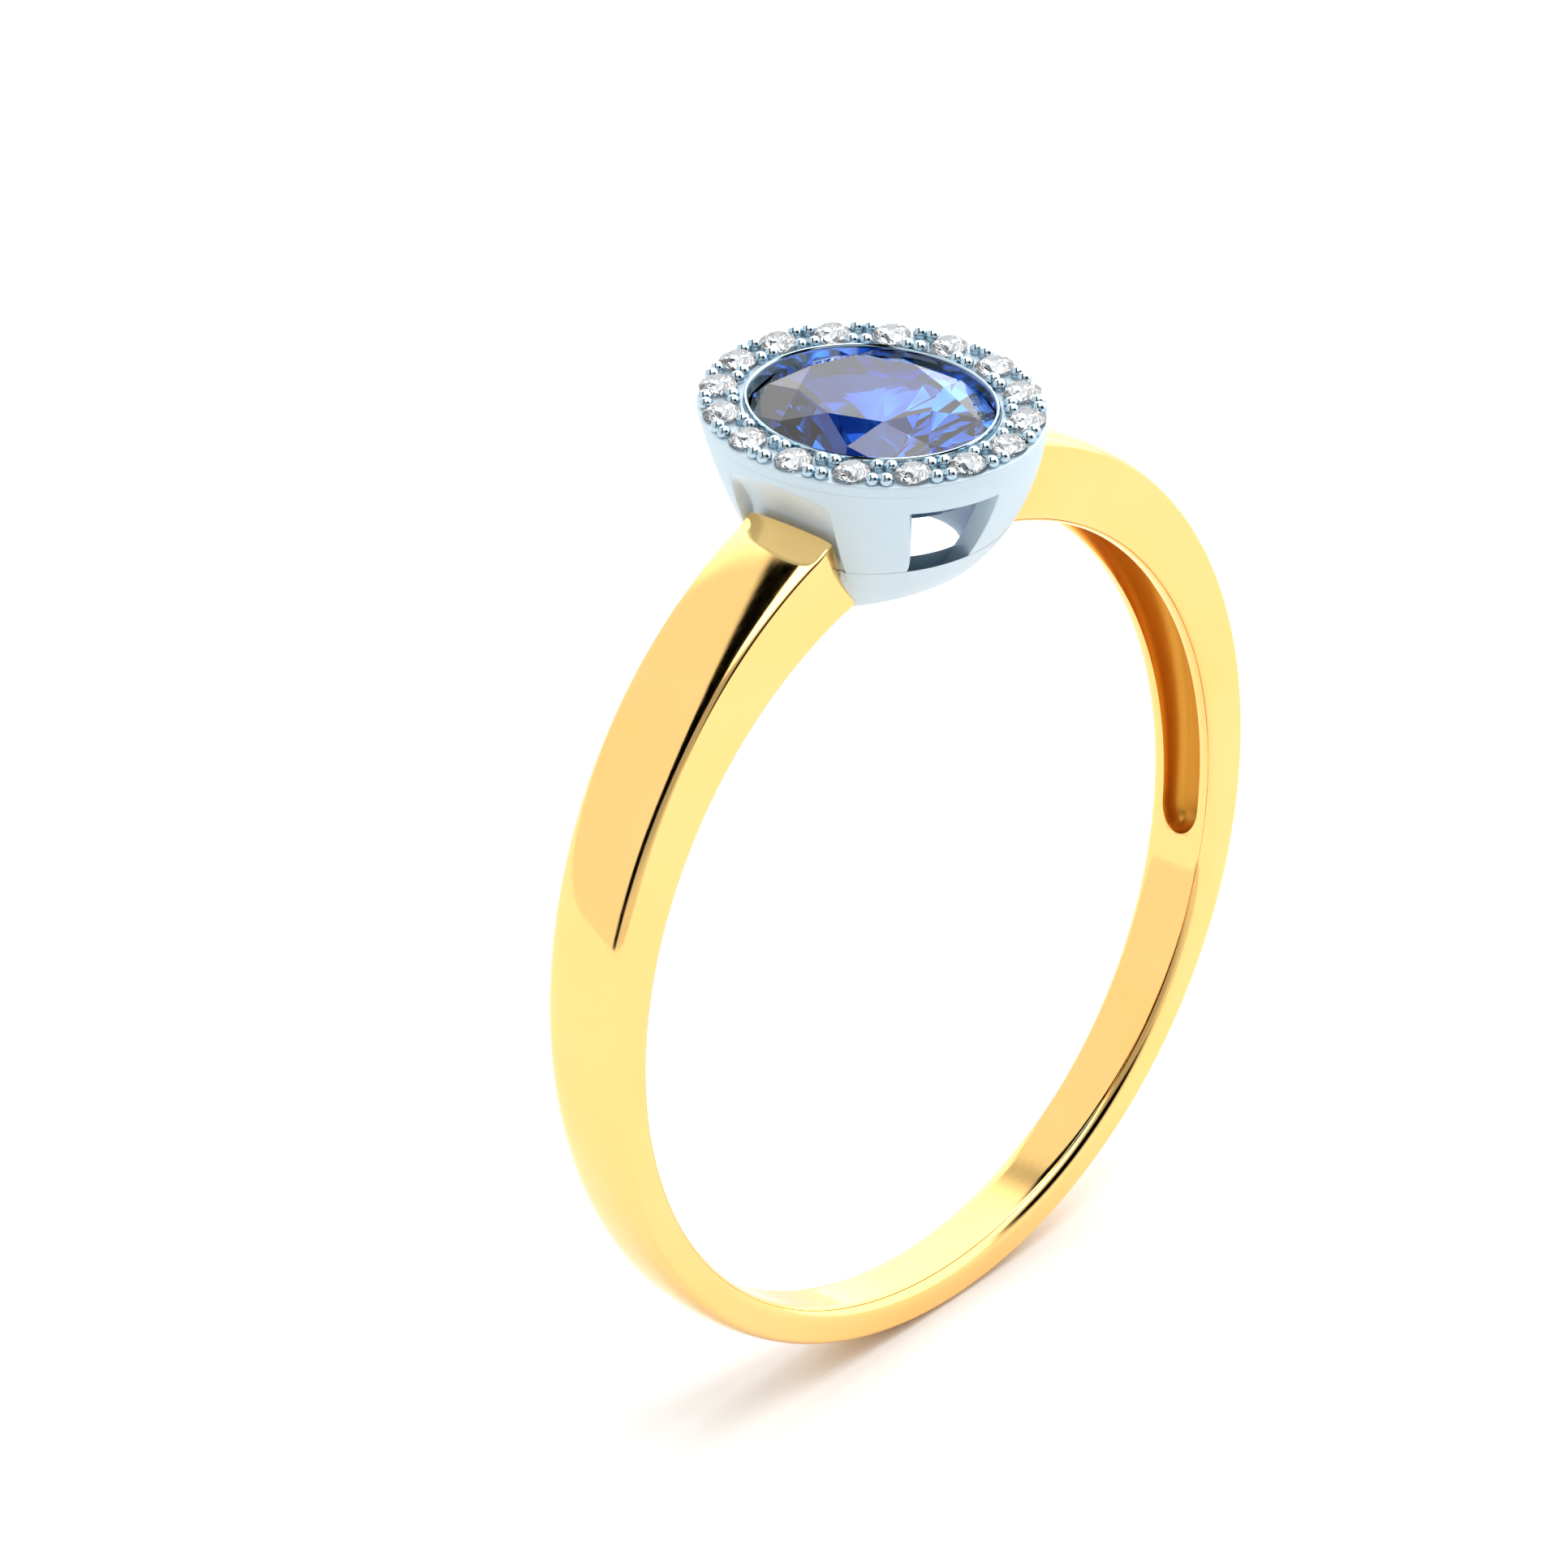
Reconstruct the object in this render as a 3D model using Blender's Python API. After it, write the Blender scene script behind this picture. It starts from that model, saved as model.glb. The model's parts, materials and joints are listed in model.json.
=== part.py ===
"""Engagement ring: a yellow gold shank with a white gold oval head, a sapphire and a halo of diamonds.

Frame: metres, +Z up towards the stone, +Y along the finger, origin under the middle of the shank's
lowest point. Plan angles in the head run round +Z from +X; shank angles run from the lowest point.
"""

from math import asin, cos, pi, radians, sin, sqrt

import bmesh
import bpy

MM = 0.001

# ---- driving dimensions -------------------------------------------------------------------------
FINGER_RADIUS = 8.45 * MM       # inside of the shank, a 16.9 mm bore
REST_FLAT = 0.04 * MM           # how much is polished off the lowest point, which makes a small flat

# shank: heights are measured outwards from the finger, at the bottom and where it meets the head
SHANK_BOTTOM_HEIGHT = 0.85 * MM
SHANK_HEAD_HEIGHT = 1.90 * MM
SHANK_HEIGHT_POWER = 2.1        # above 1, the height grows mostly in the shoulders
SHANK_BOTTOM_WIDTH = 1.38 * MM
SHANK_HEAD_WIDTH = 2.25 * MM
SHANK_DOME_BOTTOM = 0.20 * MM   # height of the domed outside above the flat sides
SHANK_DOME_HEAD = 0.16 * MM
SHANK_DOME_SWELL = 0.08 * MM    # extra dome halfway up
SHANK_DOME_POWER = 2.3          # superellipse power of the dome, 2 is a true ellipse
SHANK_INNER_ROUND = 0.26 * MM   # rounding of the edges next to the finger
SHANK_END_SHARE = 0.68          # where the uncut band ends, over the half width of the head's foot

# the hollow inside each shoulder
HOLLOW_START = 75.0             # degrees from the lowest point
HOLLOW_WALL = 0.38 * MM         # metal left beside it
HOLLOW_ROOF = 0.55 * MM         # metal left above it, out to the crest
HOLLOW_END_WALL = 1.115 * MM    # metal left between it and the head, along the bore
HOLLOW_ROUND_END = 4.0          # degrees that its rounded lower end takes
HOLLOW_END_WIDTH = 0.35         # width of that end at its very tip, over the full width
HOLLOW_CORNER = 0.35            # chamfer of its upper corners, over its half width

# sapphire and the collet that holds it
STONE_HALF_X = 2.08 * MM
STONE_HALF_Y = 2.68 * MM
STONE_CROWN = 0.56 * MM
STONE_GIRDLE = 0.10 * MM
STONE_PAVILION = 2.20 * MM
STONE_TABLE_SHARE = 0.60        # table width over girdle width
CROWN_MID_SHARE = 0.82          # width partway up the crown, over girdle width
CROWN_MID_RISE = 0.55           # how far up the crown that is
PAVILION_MID_SHARE = 0.62       # width halfway down the pavilion, over girdle width
CULET_SHARE = 0.03
CULET_CLEARANCE = 0.65 * MM     # from the finger to the sapphire's point
COLLET_WALL = 0.10 * MM         # beside the girdle
COLLET_LIP = 0.04 * MM          # how far the rim closes over the girdle
COLLET_LIP_HEIGHT = 0.275 * MM  # rim above the girdle
COLLET_LIP_ROOT = 0.06 * MM     # height over which the rim closes in
COLLET_RISE = 0.14 * MM         # rim above the halo plate
COLLET_DEPTH = 1.15 * MM        # girdle down to the collet's lower edge
COLLET_TAPER = 0.40 * MM        # how much narrower the lower edge is, each side
RIM_OUTER_ROUND = (0.04 * MM, 0.05 * MM)   # chamfer of the rim's outer edge, across and down
RIM_INNER_ROUND = 0.03 * MM     # how far the rim's inner edge leans back

# halo: the oval plate round the collet that carries the small diamonds
HALO_THICKNESS = 0.24 * MM
HALO_EDGE_ROUND = 0.06 * MM
HALO_WEB_X = 0.005 * MM         # metal between the plate's inner edge and a seat, at its X ends
HALO_WEB_Y = 0.135 * MM         # and at its Y ends
SEAT_BREAK = 0.005 * MM         # how far the seats break through the plate's outer edge
DIAMOND_COUNT = 16
DIAMOND_PHASE = 6.0             # degrees that the first diamond stands past +X
DIAMOND_DIAMETER = 0.78 * MM
DIAMOND_PAVILION_SHARE = 0.43   # pavilion depth, crown height and table width over the diameter
DIAMOND_CROWN_SHARE = 0.16
DIAMOND_TABLE_SHARE = 0.55
DIAMOND_GIRDLE = 0.02 * MM
DIAMOND_CULET_RADIUS = 0.02 * MM
DIAMOND_PROUD = 0.07 * MM       # girdle above the plate's face
DRILL_RADIUS = 0.12 * MM        # hole under each diamond
DRILL_DEPTH = 0.10 * MM         # how far it goes past the stone's point and the plate
BEAD_RADIUS = 0.125 * MM
BEAD_PAIR_GAP = 0.02 * MM       # between the two beads of a pair
BEAD_EDGE_GAP = 0.02 * MM       # between a bead and the width that the seats take
BEAD_SINK = 0.06 * MM           # root of a bead in the plate

# gallery: the bowl under the halo, which the shank is soldered to
GALLERY_WALL = 0.52 * MM
SHOULDER_EXTRA = 0.20 * MM      # the wall is this much thicker towards the shank
GALLERY_SINK = 0.62 * MM        # how far the bowl's curve runs on below the finger's surface
GALLERY_FOOT_SHARE_X = 0.64     # bowl size at the end of that curve, over its size at the top
GALLERY_FOOT_SHARE_Y = 0.28
GALLERY_POWER = 1.5             # superellipse power of the bowl's side
GALLERY_EDGE_INSET = 0.02 * MM  # the bowl stands this far inside the halo's edge
WINDOW_MIDDLE = 246.5           # plan angle of one window; the other is straight across
WINDOW_HALF_ANGLE = 17.5
WINDOW_NARROWING = 3.5          # degrees that each side of the window leans in towards its sill
WINDOW_SILL = 1.00 * MM         # above the finger's surface
WINDOW_BROW = 0.405 * MM        # metal above the window
FACE_INSET = 0.56 * MM          # the flat faces for the shank's ends, in from the halo's edge
FACE_MARGIN = 0.075 * MM        # how much wider a face is than the shank, each side
SCOOP_LIP = 0.15 * MM           # rim left between the shank's crest and the scoop above it
SCOOP_DEPTH = 0.08 * MM         # of the scoop's lower edge behind the face
SCOOP_BROW = 0.06 * MM          # metal above it
SCOOP_SWEEP = 65.0              # degrees of arc that its hollow side turns through

SEAT_GAP = 0.025 * MM           # clearance of a stone in its seat and between soldered pieces
LEDGE_GAP = 0.04 * MM           # clearance between the collet's ledge and the sapphire
OVERCUT = 0.06 * MM             # how far a cutter's edges stand outside what it cuts
LONG_OVERCUT = 0.50 * MM        # and its far side

SHANK_SECTIONS = 88
HOLLOW_SECTIONS = 18
DOME_POINTS = 10
ROUND_POINTS = 3
OVAL_POINTS = 48
BORE_POINTS = 120
SMALL_ROUND_POINTS = 12
BEAD_POINTS = 6

# ---- derived places -----------------------------------------------------------------------------
FINGER_Z = FINGER_RADIUS + SHANK_BOTTOM_HEIGHT - REST_FLAT   # height of the finger's axis
SURFACE_Z = FINGER_Z + FINGER_RADIUS                         # top of the finger

GIRDLE_Z = SURFACE_Z + CULET_CLEARANCE + STONE_PAVILION      # underside of the sapphire's girdle
OVER_GIRDLE_Z = GIRDLE_Z + STONE_GIRDLE + SEAT_GAP
COLLET_TOP_Z = OVER_GIRDLE_Z + COLLET_LIP_HEIGHT
COLLET_X = STONE_HALF_X + SEAT_GAP + COLLET_WALL
COLLET_Y = STONE_HALF_Y + SEAT_GAP + COLLET_WALL

SEAT_RADIUS = DIAMOND_DIAMETER / 2 + SEAT_GAP
HALO_INNER_X = COLLET_X + SEAT_GAP
HALO_INNER_Y = COLLET_Y + SEAT_GAP
DIAMOND_RING_X = HALO_INNER_X + HALO_WEB_X + SEAT_RADIUS     # half widths of the oval of diamonds
DIAMOND_RING_Y = HALO_INNER_Y + HALO_WEB_Y + SEAT_RADIUS
HALO_HALF_X = DIAMOND_RING_X + SEAT_RADIUS - SEAT_BREAK
HALO_HALF_Y = DIAMOND_RING_Y + SEAT_RADIUS - SEAT_BREAK
HALO_TOP_Z = COLLET_TOP_Z - COLLET_RISE
HALO_BOTTOM_Z = HALO_TOP_Z - HALO_THICKNESS
BEAD_SIDE_STEP = BEAD_RADIUS + BEAD_PAIR_GAP / 2             # from the middle of a gap, along the halo
BEAD_CROSS_STEP = SEAT_RADIUS - BEAD_RADIUS - BEAD_EDGE_GAP  # and across it
DIAMOND_GIRDLE_Z = HALO_TOP_Z + DIAMOND_PROUD
DIAMOND_CULET_Z = DIAMOND_GIRDLE_Z - DIAMOND_PAVILION_SHARE * DIAMOND_DIAMETER
DIAMOND_TABLE_Z = DIAMOND_GIRDLE_Z + DIAMOND_CROWN_SHARE * DIAMOND_DIAMETER

GALLERY_TOP_Z = HALO_BOTTOM_Z - SEAT_GAP
GALLERY_FOOT_Z = SURFACE_Z - GALLERY_SINK
WINDOW_SILL_Z = SURFACE_Z + WINDOW_SILL
WINDOW_HEAD_Z = GALLERY_TOP_Z - WINDOW_BROW
FACE_X = HALO_HALF_X - FACE_INSET
FACE_HALF = SHANK_HEAD_WIDTH / 2 + FACE_MARGIN
FACE_CREST_Z = FINGER_Z + sqrt((FINGER_RADIUS + SHANK_HEAD_HEIGHT) ** 2 - FACE_X ** 2)
SCOOP_SILL_Z = FACE_CREST_Z + SCOOP_LIP
SCOOP_HEAD_Z = GALLERY_TOP_Z - SCOOP_BROW


# ---- helpers ------------------------------------------------------------------------------------
def clear_scene():
    """Remove whatever the file opened with."""
    for obj in list(bpy.data.objects):
        bpy.data.objects.remove(obj, do_unlink=True)


def make_material(name, colour, metallic, roughness):
    """One Principled material with a plain colour."""
    mat = bpy.data.materials.new(name)
    mat.use_nodes = True
    shader = mat.node_tree.nodes["Principled BSDF"]
    shader.inputs["Base Color"].default_value = (*colour, 1.0)
    shader.inputs["Metallic"].default_value = metallic
    shader.inputs["Roughness"].default_value = roughness
    return mat


def add_object(name, bm, material=None, smooth_angle=30.0):
    """Turn a bmesh into an object of the scene, smooth except at its sharp edges."""
    bmesh.ops.recalc_face_normals(bm, faces=bm.faces)
    mesh = bpy.data.meshes.new(name)
    bm.to_mesh(mesh)
    bm.free()
    mesh.shade_smooth()
    mesh.set_sharp_from_angle(angle=radians(smooth_angle))
    if material:
        mesh.materials.append(material)
    obj = bpy.data.objects.new(name, mesh)
    bpy.context.scene.collection.objects.link(obj)
    return obj


def loft(bm, rings, closed=False):
    """Skin a list of equal rings of points, and cap the two ends or join them."""
    loops = [[bm.verts.new(point) for point in ring] for ring in rings]
    count = len(loops[0])
    pairs = list(zip(loops, loops[1:]))
    if closed:
        pairs.append((loops[-1], loops[0]))
    else:
        bm.faces.new(loops[0])
        bm.faces.new(list(reversed(loops[-1])))
    for lower, upper in pairs:
        for i in range(count):
            j = (i + 1) % count
            bm.faces.new((lower[i], lower[j], upper[j], upper[i]))


def cut(obj, tool, operation="DIFFERENCE"):
    """Cut a tool out of an object, or weld it on, and keep the tool out of the result."""
    tool.hide_render = True
    tool.display_type = "WIRE"
    step = obj.modifiers.new(tool.name, "BOOLEAN")
    step.operation = operation
    step.solver = "EXACT"
    step.object = tool


def oval(half_x, half_y, z, points=OVAL_POINTS):
    """Points round an ellipse at a height."""
    turns = [2 * pi * i / points for i in range(points)]
    return [(half_x * cos(t), half_y * sin(t), z) for t in turns]


# ---- the bowl's side ----------------------------------------------------------------------------
def bowl_halves(z, inset):
    """Half widths of the bowl at a height, moved in from its outside by an inset."""
    rise = min(max((z - GALLERY_FOOT_Z) / (HALO_TOP_Z - GALLERY_FOOT_Z), 0.0), 1.0)
    curve = (1 - (1 - rise) ** GALLERY_POWER) ** (1 / GALLERY_POWER)
    share_x = GALLERY_FOOT_SHARE_X + (1 - GALLERY_FOOT_SHARE_X) * curve
    share_y = GALLERY_FOOT_SHARE_Y + (1 - GALLERY_FOOT_SHARE_Y) * curve
    half_x = (HALO_HALF_X - GALLERY_EDGE_INSET) * share_x - inset
    half_y = (HALO_HALF_Y - GALLERY_EDGE_INSET) * share_y - inset
    return half_x, half_y


# ---- shank --------------------------------------------------------------------------------------
def shank_share(angle):
    """How far a place on the shank is from the lowest point, 0, to the head, 1."""
    return (1 - cos(angle)) / 2


def shank_height(angle):
    """Height of the crest above the finger; it grows slowly and then rises to the head."""
    grown = shank_share(angle) ** SHANK_HEIGHT_POWER
    return SHANK_BOTTOM_HEIGHT + (SHANK_HEAD_HEIGHT - SHANK_BOTTOM_HEIGHT) * grown


def shank_width(angle):
    return SHANK_BOTTOM_WIDTH + (SHANK_HEAD_WIDTH - SHANK_BOTTOM_WIDTH) * shank_share(angle)


def shank_dome(angle):
    share = shank_share(angle)
    straight = SHANK_DOME_BOTTOM + (SHANK_DOME_HEAD - SHANK_DOME_BOTTOM) * share
    return straight + SHANK_DOME_SWELL * 4 * share * (1 - share)


def on_shank(angle, radius, y):
    """A point at an angle from the lowest point, at a radius from the finger's axis."""
    return (radius * sin(angle), y, FINGER_Z - radius * cos(angle))


def shank_section(angle):
    """The D-shaped section: flat inside with rounded edges, flat sides, domed outside."""
    half = shank_width(angle) / 2
    dome = shank_dome(angle)
    shoulder = FINGER_RADIUS + shank_height(angle) - dome
    corner = SHANK_INNER_ROUND
    outline = []
    for i in range(ROUND_POINTS + 1):
        turn = pi / 2 * i / ROUND_POINTS
        outline.append((FINGER_RADIUS + corner * (1 - sin(turn)), half - corner * (1 - cos(turn))))
    outline += [(radius, -y) for radius, y in reversed(outline)]
    for i in range(DOME_POINTS + 1):
        turn = pi * (i / DOME_POINTS - 0.5)
        side = 1 if turn > 0 else -1
        y = side * half * abs(sin(turn)) ** (2 / SHANK_DOME_POWER)
        rise = dome * max(cos(turn), 0.0) ** (2 / SHANK_DOME_POWER)
        outline.append((shoulder + rise, y))
    return [on_shank(angle, radius, y) for radius, y in outline]


def bore_angle(x):
    """Angle on the bore, from its lowest point, at a distance beside the head's middle."""
    return pi - asin(x / FINGER_RADIUS)


def build_shank(gold, head_space):
    """The band, open at the top for the head, hollowed inside each shoulder."""
    reach = bore_angle(SHANK_END_SHARE * bowl_halves(GALLERY_FOOT_Z, 0.0)[0])
    angles = [reach * (2 * i / SHANK_SECTIONS - 1) for i in range(SHANK_SECTIONS + 1)]
    rings = []
    for angle in angles:
        ring = shank_section(angle)
        rings.append([(x, y, max(z, 0.0)) for x, y, z in ring])
    bm = bmesh.new()
    loft(bm, rings)
    shank = add_object("shank", bm, gold)
    for side, name in ((-1, "hollow_left"), (1, "hollow_right")):
        cut(shank, build_hollow(name, side))
    cut(shank, head_space)
    return shank


def build_hollow(name, side):
    """Cutter for the trough inside a shoulder, with a rounded lower end."""
    start = radians(HOLLOW_START)
    end = bore_angle(bowl_halves(SURFACE_Z, -SEAT_GAP)[0]) - HOLLOW_END_WALL / FINGER_RADIUS
    low = FINGER_RADIUS - LONG_OVERCUT
    rings = []
    for i in range(HOLLOW_SECTIONS + 1):
        # the sections are closer together at the rounded end
        angle = start + (end - start) * (i / HOLLOW_SECTIONS) ** 1.4
        past = min((angle - start) / radians(HOLLOW_ROUND_END), 1.0)
        narrow = max(sqrt(1 - (1 - past) ** 2), HOLLOW_END_WIDTH)
        half = (shank_width(angle) / 2 - HOLLOW_WALL) * narrow
        top = FINGER_RADIUS + shank_height(angle) - HOLLOW_ROOF
        corner = HOLLOW_CORNER * half
        outline = ((low, -half), (top - corner, -half), (top, corner - half),
                   (top, half - corner), (top - corner, half), (low, half))
        rings.append([on_shank(side * angle, radius, y) for radius, y in outline])
    bm = bmesh.new()
    loft(bm, rings)
    return add_object(name, bm)


# ---- head ---------------------------------------------------------------------------------------
def bowl_ring(z, inset):
    """Oval of the bowl at a height."""
    return oval(*bowl_halves(z, inset), z)


def bowl_levels(high, steps):
    """Even heights from just above the end of the side's curve up to a height."""
    low = GALLERY_FOOT_Z + OVERCUT / 2
    return [low + (high - low) * i / steps for i in range(steps + 1)]


def extrude_outline(name, outline, half_width):
    """A bar along Y with an outline of (x, z) points."""
    bm = bmesh.new()
    loft(bm, [[(x, y, z) for x, z in outline] for y in (-half_width, half_width)])
    return add_object(name, bm)


def build_head_space():
    """Cutter for the room that the head takes between the shoulders."""
    bm = bmesh.new()
    loft(bm, [bowl_ring(z, -SEAT_GAP) for z in bowl_levels(HALO_TOP_Z, 14)])
    space = add_object("head_space", bm)
    for side, name in ((-1, "face_left"), (1, "face_right")):
        near = side * (FACE_X + SEAT_GAP)
        far = side * (HALO_HALF_X + LONG_OVERCUT)
        outline = ((near, GALLERY_FOOT_Z), (far, GALLERY_FOOT_Z), (far, GALLERY_TOP_Z), (near, GALLERY_TOP_Z))
        cut(space, extrude_outline(name, outline, FACE_HALF - SEAT_GAP))
    return space


def build_window(name, turn):
    """Cutter for a see-through window, a wedge between two plan angles."""
    steps = 6
    middle = turn + WINDOW_MIDDLE
    sill_half = WINDOW_HALF_ANGLE - WINDOW_NARROWING
    inside = GALLERY_WALL + LONG_OVERCUT
    outline = ((inside, WINDOW_SILL_Z, sill_half), (-LONG_OVERCUT, WINDOW_SILL_Z, sill_half),
               (-LONG_OVERCUT, WINDOW_HEAD_Z, WINDOW_HALF_ANGLE), (inside, WINDOW_HEAD_Z, WINDOW_HALF_ANGLE))
    rings = []
    for i in range(steps + 1):
        ring = []
        for inset, z, half_angle in outline:
            angle = radians(middle + half_angle * (2 * i / steps - 1))
            half_x, half_y = bowl_halves(z, inset)
            ring.append((half_x * cos(angle), half_y * sin(angle), z))
        rings.append(ring)
    bm = bmesh.new()
    loft(bm, rings)
    return add_object(name, bm)


def build_scoop(name, side):
    """Cutter for the flat face that the shank is soldered to and the hollow side above it."""
    steps = 8
    low = GALLERY_FOOT_Z
    far = HALO_HALF_X + LONG_OVERCUT
    deep = FACE_X - SCOOP_DEPTH
    sweep = radians(SCOOP_SWEEP)
    outline = [(far, low), (FACE_X, low), (FACE_X, SCOOP_SILL_Z)]
    for i in range(steps + 1):
        turn = sweep * i / steps
        across = (1 - cos(turn)) / (1 - cos(sweep))
        up = sin(turn) / sin(sweep)
        x = deep + (HALO_HALF_X + OVERCUT - deep) * across
        z = SCOOP_SILL_Z + SCOOP_DEPTH / 2 + (SCOOP_HEAD_Z - SCOOP_SILL_Z - SCOOP_DEPTH / 2) * up
        outline.append((x, z))
    outline.append((far, SCOOP_HEAD_Z))
    return extrude_outline(name, [(side * x, z) for x, z in outline], FACE_HALF)


def build_finger():
    """Cutter for the finger, which trims the foot of the bowl to the bore."""
    bm = bmesh.new()
    rings = []
    for y in (-2 * HALO_HALF_Y, 2 * HALO_HALF_Y):
        turns = [2 * pi * (i + 0.5) / BORE_POINTS for i in range(BORE_POINTS)]
        rings.append([(FINGER_RADIUS * cos(t), y, FINGER_Z + FINGER_RADIUS * sin(t)) for t in turns])
    loft(bm, rings)
    return add_object("finger", bm)


def build_gallery(white_gold, seats):
    """The bowl: an oval wall with two windows, two scoops and a foot that follows the finger."""
    levels = bowl_levels(GALLERY_TOP_Z, 12)
    outside = [bowl_ring(z, 0.0) for z in levels]
    inside = []
    for z in reversed(levels):
        half_x, half_y = bowl_halves(z, GALLERY_WALL)
        inside.append(oval(half_x - SHOULDER_EXTRA, half_y, z))
    bm = bmesh.new()
    loft(bm, outside + inside, closed=True)
    gallery = add_object("head_gallery", bm, white_gold)
    for name, turn in (("window_front", 0.0), ("window_back", 180.0)):
        cut(gallery, build_window(name, turn))
    for name, side in (("scoop_left", -1), ("scoop_right", 1)):
        cut(gallery, build_scoop(name, side))
    cut(gallery, build_finger())
    cut(gallery, seats)
    return gallery


def halo_place(turn):
    """A place on the oval of diamonds, with the direction along the halo there."""
    along = (-DIAMOND_RING_X * sin(turn), DIAMOND_RING_Y * cos(turn))
    length = sqrt(along[0] ** 2 + along[1] ** 2)
    place = (DIAMOND_RING_X * cos(turn), DIAMOND_RING_Y * sin(turn))
    return place, (along[0] / length, along[1] / length)


def diamond_turns(offset=0.0):
    """Plan angles of the diamonds, or with an offset of a half, of the gaps between them."""
    return [radians(DIAMOND_PHASE + 360 * (i + offset) / DIAMOND_COUNT) for i in range(DIAMOND_COUNT)]


def disc_stack(bm, centre, profile, points):
    """A turned shape about a vertical line, from (radius, height) pairs."""
    rings = []
    for radius, z in profile:
        turns = [2 * pi * i / points for i in range(points)]
        rings.append([(centre[0] + radius * cos(t), centre[1] + radius * sin(t), z) for t in turns])
    loft(bm, rings)


def build_halo(white_gold, seats):
    """The oval plate with a seat for each diamond and four beads in each gap."""
    round_x = HALO_HALF_X - HALO_EDGE_ROUND
    round_y = HALO_HALF_Y - HALO_EDGE_ROUND
    bm = bmesh.new()
    loft(bm, [
        oval(HALO_INNER_X, HALO_INNER_Y, HALO_BOTTOM_Z),
        oval(HALO_HALF_X - GALLERY_EDGE_INSET, HALO_HALF_Y - GALLERY_EDGE_INSET, HALO_BOTTOM_Z),
        oval(HALO_HALF_X, HALO_HALF_Y, HALO_BOTTOM_Z + HALO_EDGE_ROUND),
        oval(HALO_HALF_X, HALO_HALF_Y, HALO_TOP_Z - HALO_EDGE_ROUND),
        oval(round_x, round_y, HALO_TOP_Z),
        oval(HALO_INNER_X, HALO_INNER_Y, HALO_TOP_Z),
    ], closed=True)
    halo = add_object("halo_plate", bm, white_gold)
    cut(halo, build_beads(), "UNION")
    cut(halo, seats)
    return halo


def build_beads():
    """The grains raised from the plate that hold the diamonds, two by two in each gap."""
    profile = (
        (0.85 * BEAD_RADIUS, HALO_TOP_Z - BEAD_SINK),
        (BEAD_RADIUS, HALO_TOP_Z + 0.35 * BEAD_RADIUS),
        (0.45 * BEAD_RADIUS, HALO_TOP_Z + 0.95 * BEAD_RADIUS),
    )
    bm = bmesh.new()
    for turn in diamond_turns(0.5):
        middle, along = halo_place(turn)
        across = (along[1], -along[0])
        for side in (-BEAD_SIDE_STEP, BEAD_SIDE_STEP):
            for cross in (-BEAD_CROSS_STEP, BEAD_CROSS_STEP):
                x = middle[0] + side * along[0] + cross * across[0]
                y = middle[1] + side * along[1] + cross * across[1]
                disc_stack(bm, (x, y), profile, BEAD_POINTS)
    return add_object("beads", bm)


def build_seats():
    """Cutter for the cone-shaped seats, each drilled on under the stone's point."""
    drill_end = min(DIAMOND_CULET_Z, GALLERY_TOP_Z) - DRILL_DEPTH
    profile = (
        (DRILL_RADIUS, drill_end),
        (DRILL_RADIUS, DIAMOND_CULET_Z + DIAMOND_CULET_RADIUS),
        (SEAT_RADIUS, HALO_TOP_Z - DIAMOND_CULET_RADIUS / 2),
        (SEAT_RADIUS, DIAMOND_TABLE_Z + OVERCUT),
    )
    bm = bmesh.new()
    for turn in diamond_turns():
        disc_stack(bm, halo_place(turn)[0], profile, SMALL_ROUND_POINTS)
    return add_object("seats", bm)


def build_diamond(name, turn, crystal):
    """A small round brilliant: table, crown, girdle and pavilion."""
    radius = DIAMOND_DIAMETER / 2
    profile = (
        (DIAMOND_CULET_RADIUS, DIAMOND_CULET_Z),
        (radius, DIAMOND_GIRDLE_Z - DIAMOND_GIRDLE / 2),
        (radius, DIAMOND_GIRDLE_Z + DIAMOND_GIRDLE / 2),
        (DIAMOND_TABLE_SHARE * radius, DIAMOND_TABLE_Z),
    )
    bm = bmesh.new()
    disc_stack(bm, halo_place(turn)[0], profile, SMALL_ROUND_POINTS)
    return add_object(name, bm, crystal, smooth_angle=5.0)


def build_collet(white_gold):
    """The oval bezel: a tapering tube with a ledge under the girdle and a rim rubbed over it."""
    low_z = GIRDLE_Z - COLLET_DEPTH
    # the ledge runs down along the pavilion's upper facets, which never cut through their own slope
    ledge = 1 - (1 - PAVILION_MID_SHARE) * 2 * COLLET_DEPTH / STONE_PAVILION
    rim_x = STONE_HALF_X - COLLET_LIP
    rim_y = STONE_HALF_Y - COLLET_LIP
    bore_x = STONE_HALF_X + SEAT_GAP
    bore_y = STONE_HALF_Y + SEAT_GAP
    across, down = RIM_OUTER_ROUND
    bm = bmesh.new()
    loft(bm, [
        oval(ledge * STONE_HALF_X + LEDGE_GAP, ledge * STONE_HALF_Y + LEDGE_GAP, low_z),
        oval(COLLET_X - COLLET_TAPER, COLLET_Y - COLLET_TAPER, low_z),
        oval(COLLET_X, COLLET_Y, HALO_BOTTOM_Z),
        oval(COLLET_X, COLLET_Y, COLLET_TOP_Z - down),
        oval(COLLET_X - across, COLLET_Y - across, COLLET_TOP_Z),
        oval(rim_x + RIM_INNER_ROUND, rim_y + RIM_INNER_ROUND, COLLET_TOP_Z),
        oval(rim_x, rim_y, OVER_GIRDLE_Z + COLLET_LIP_ROOT),
        oval(bore_x, bore_y, OVER_GIRDLE_Z),
        oval(bore_x, bore_y, GIRDLE_Z - SEAT_GAP),
    ], closed=True)
    return add_object("stone_collet", bm, white_gold)


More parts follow.
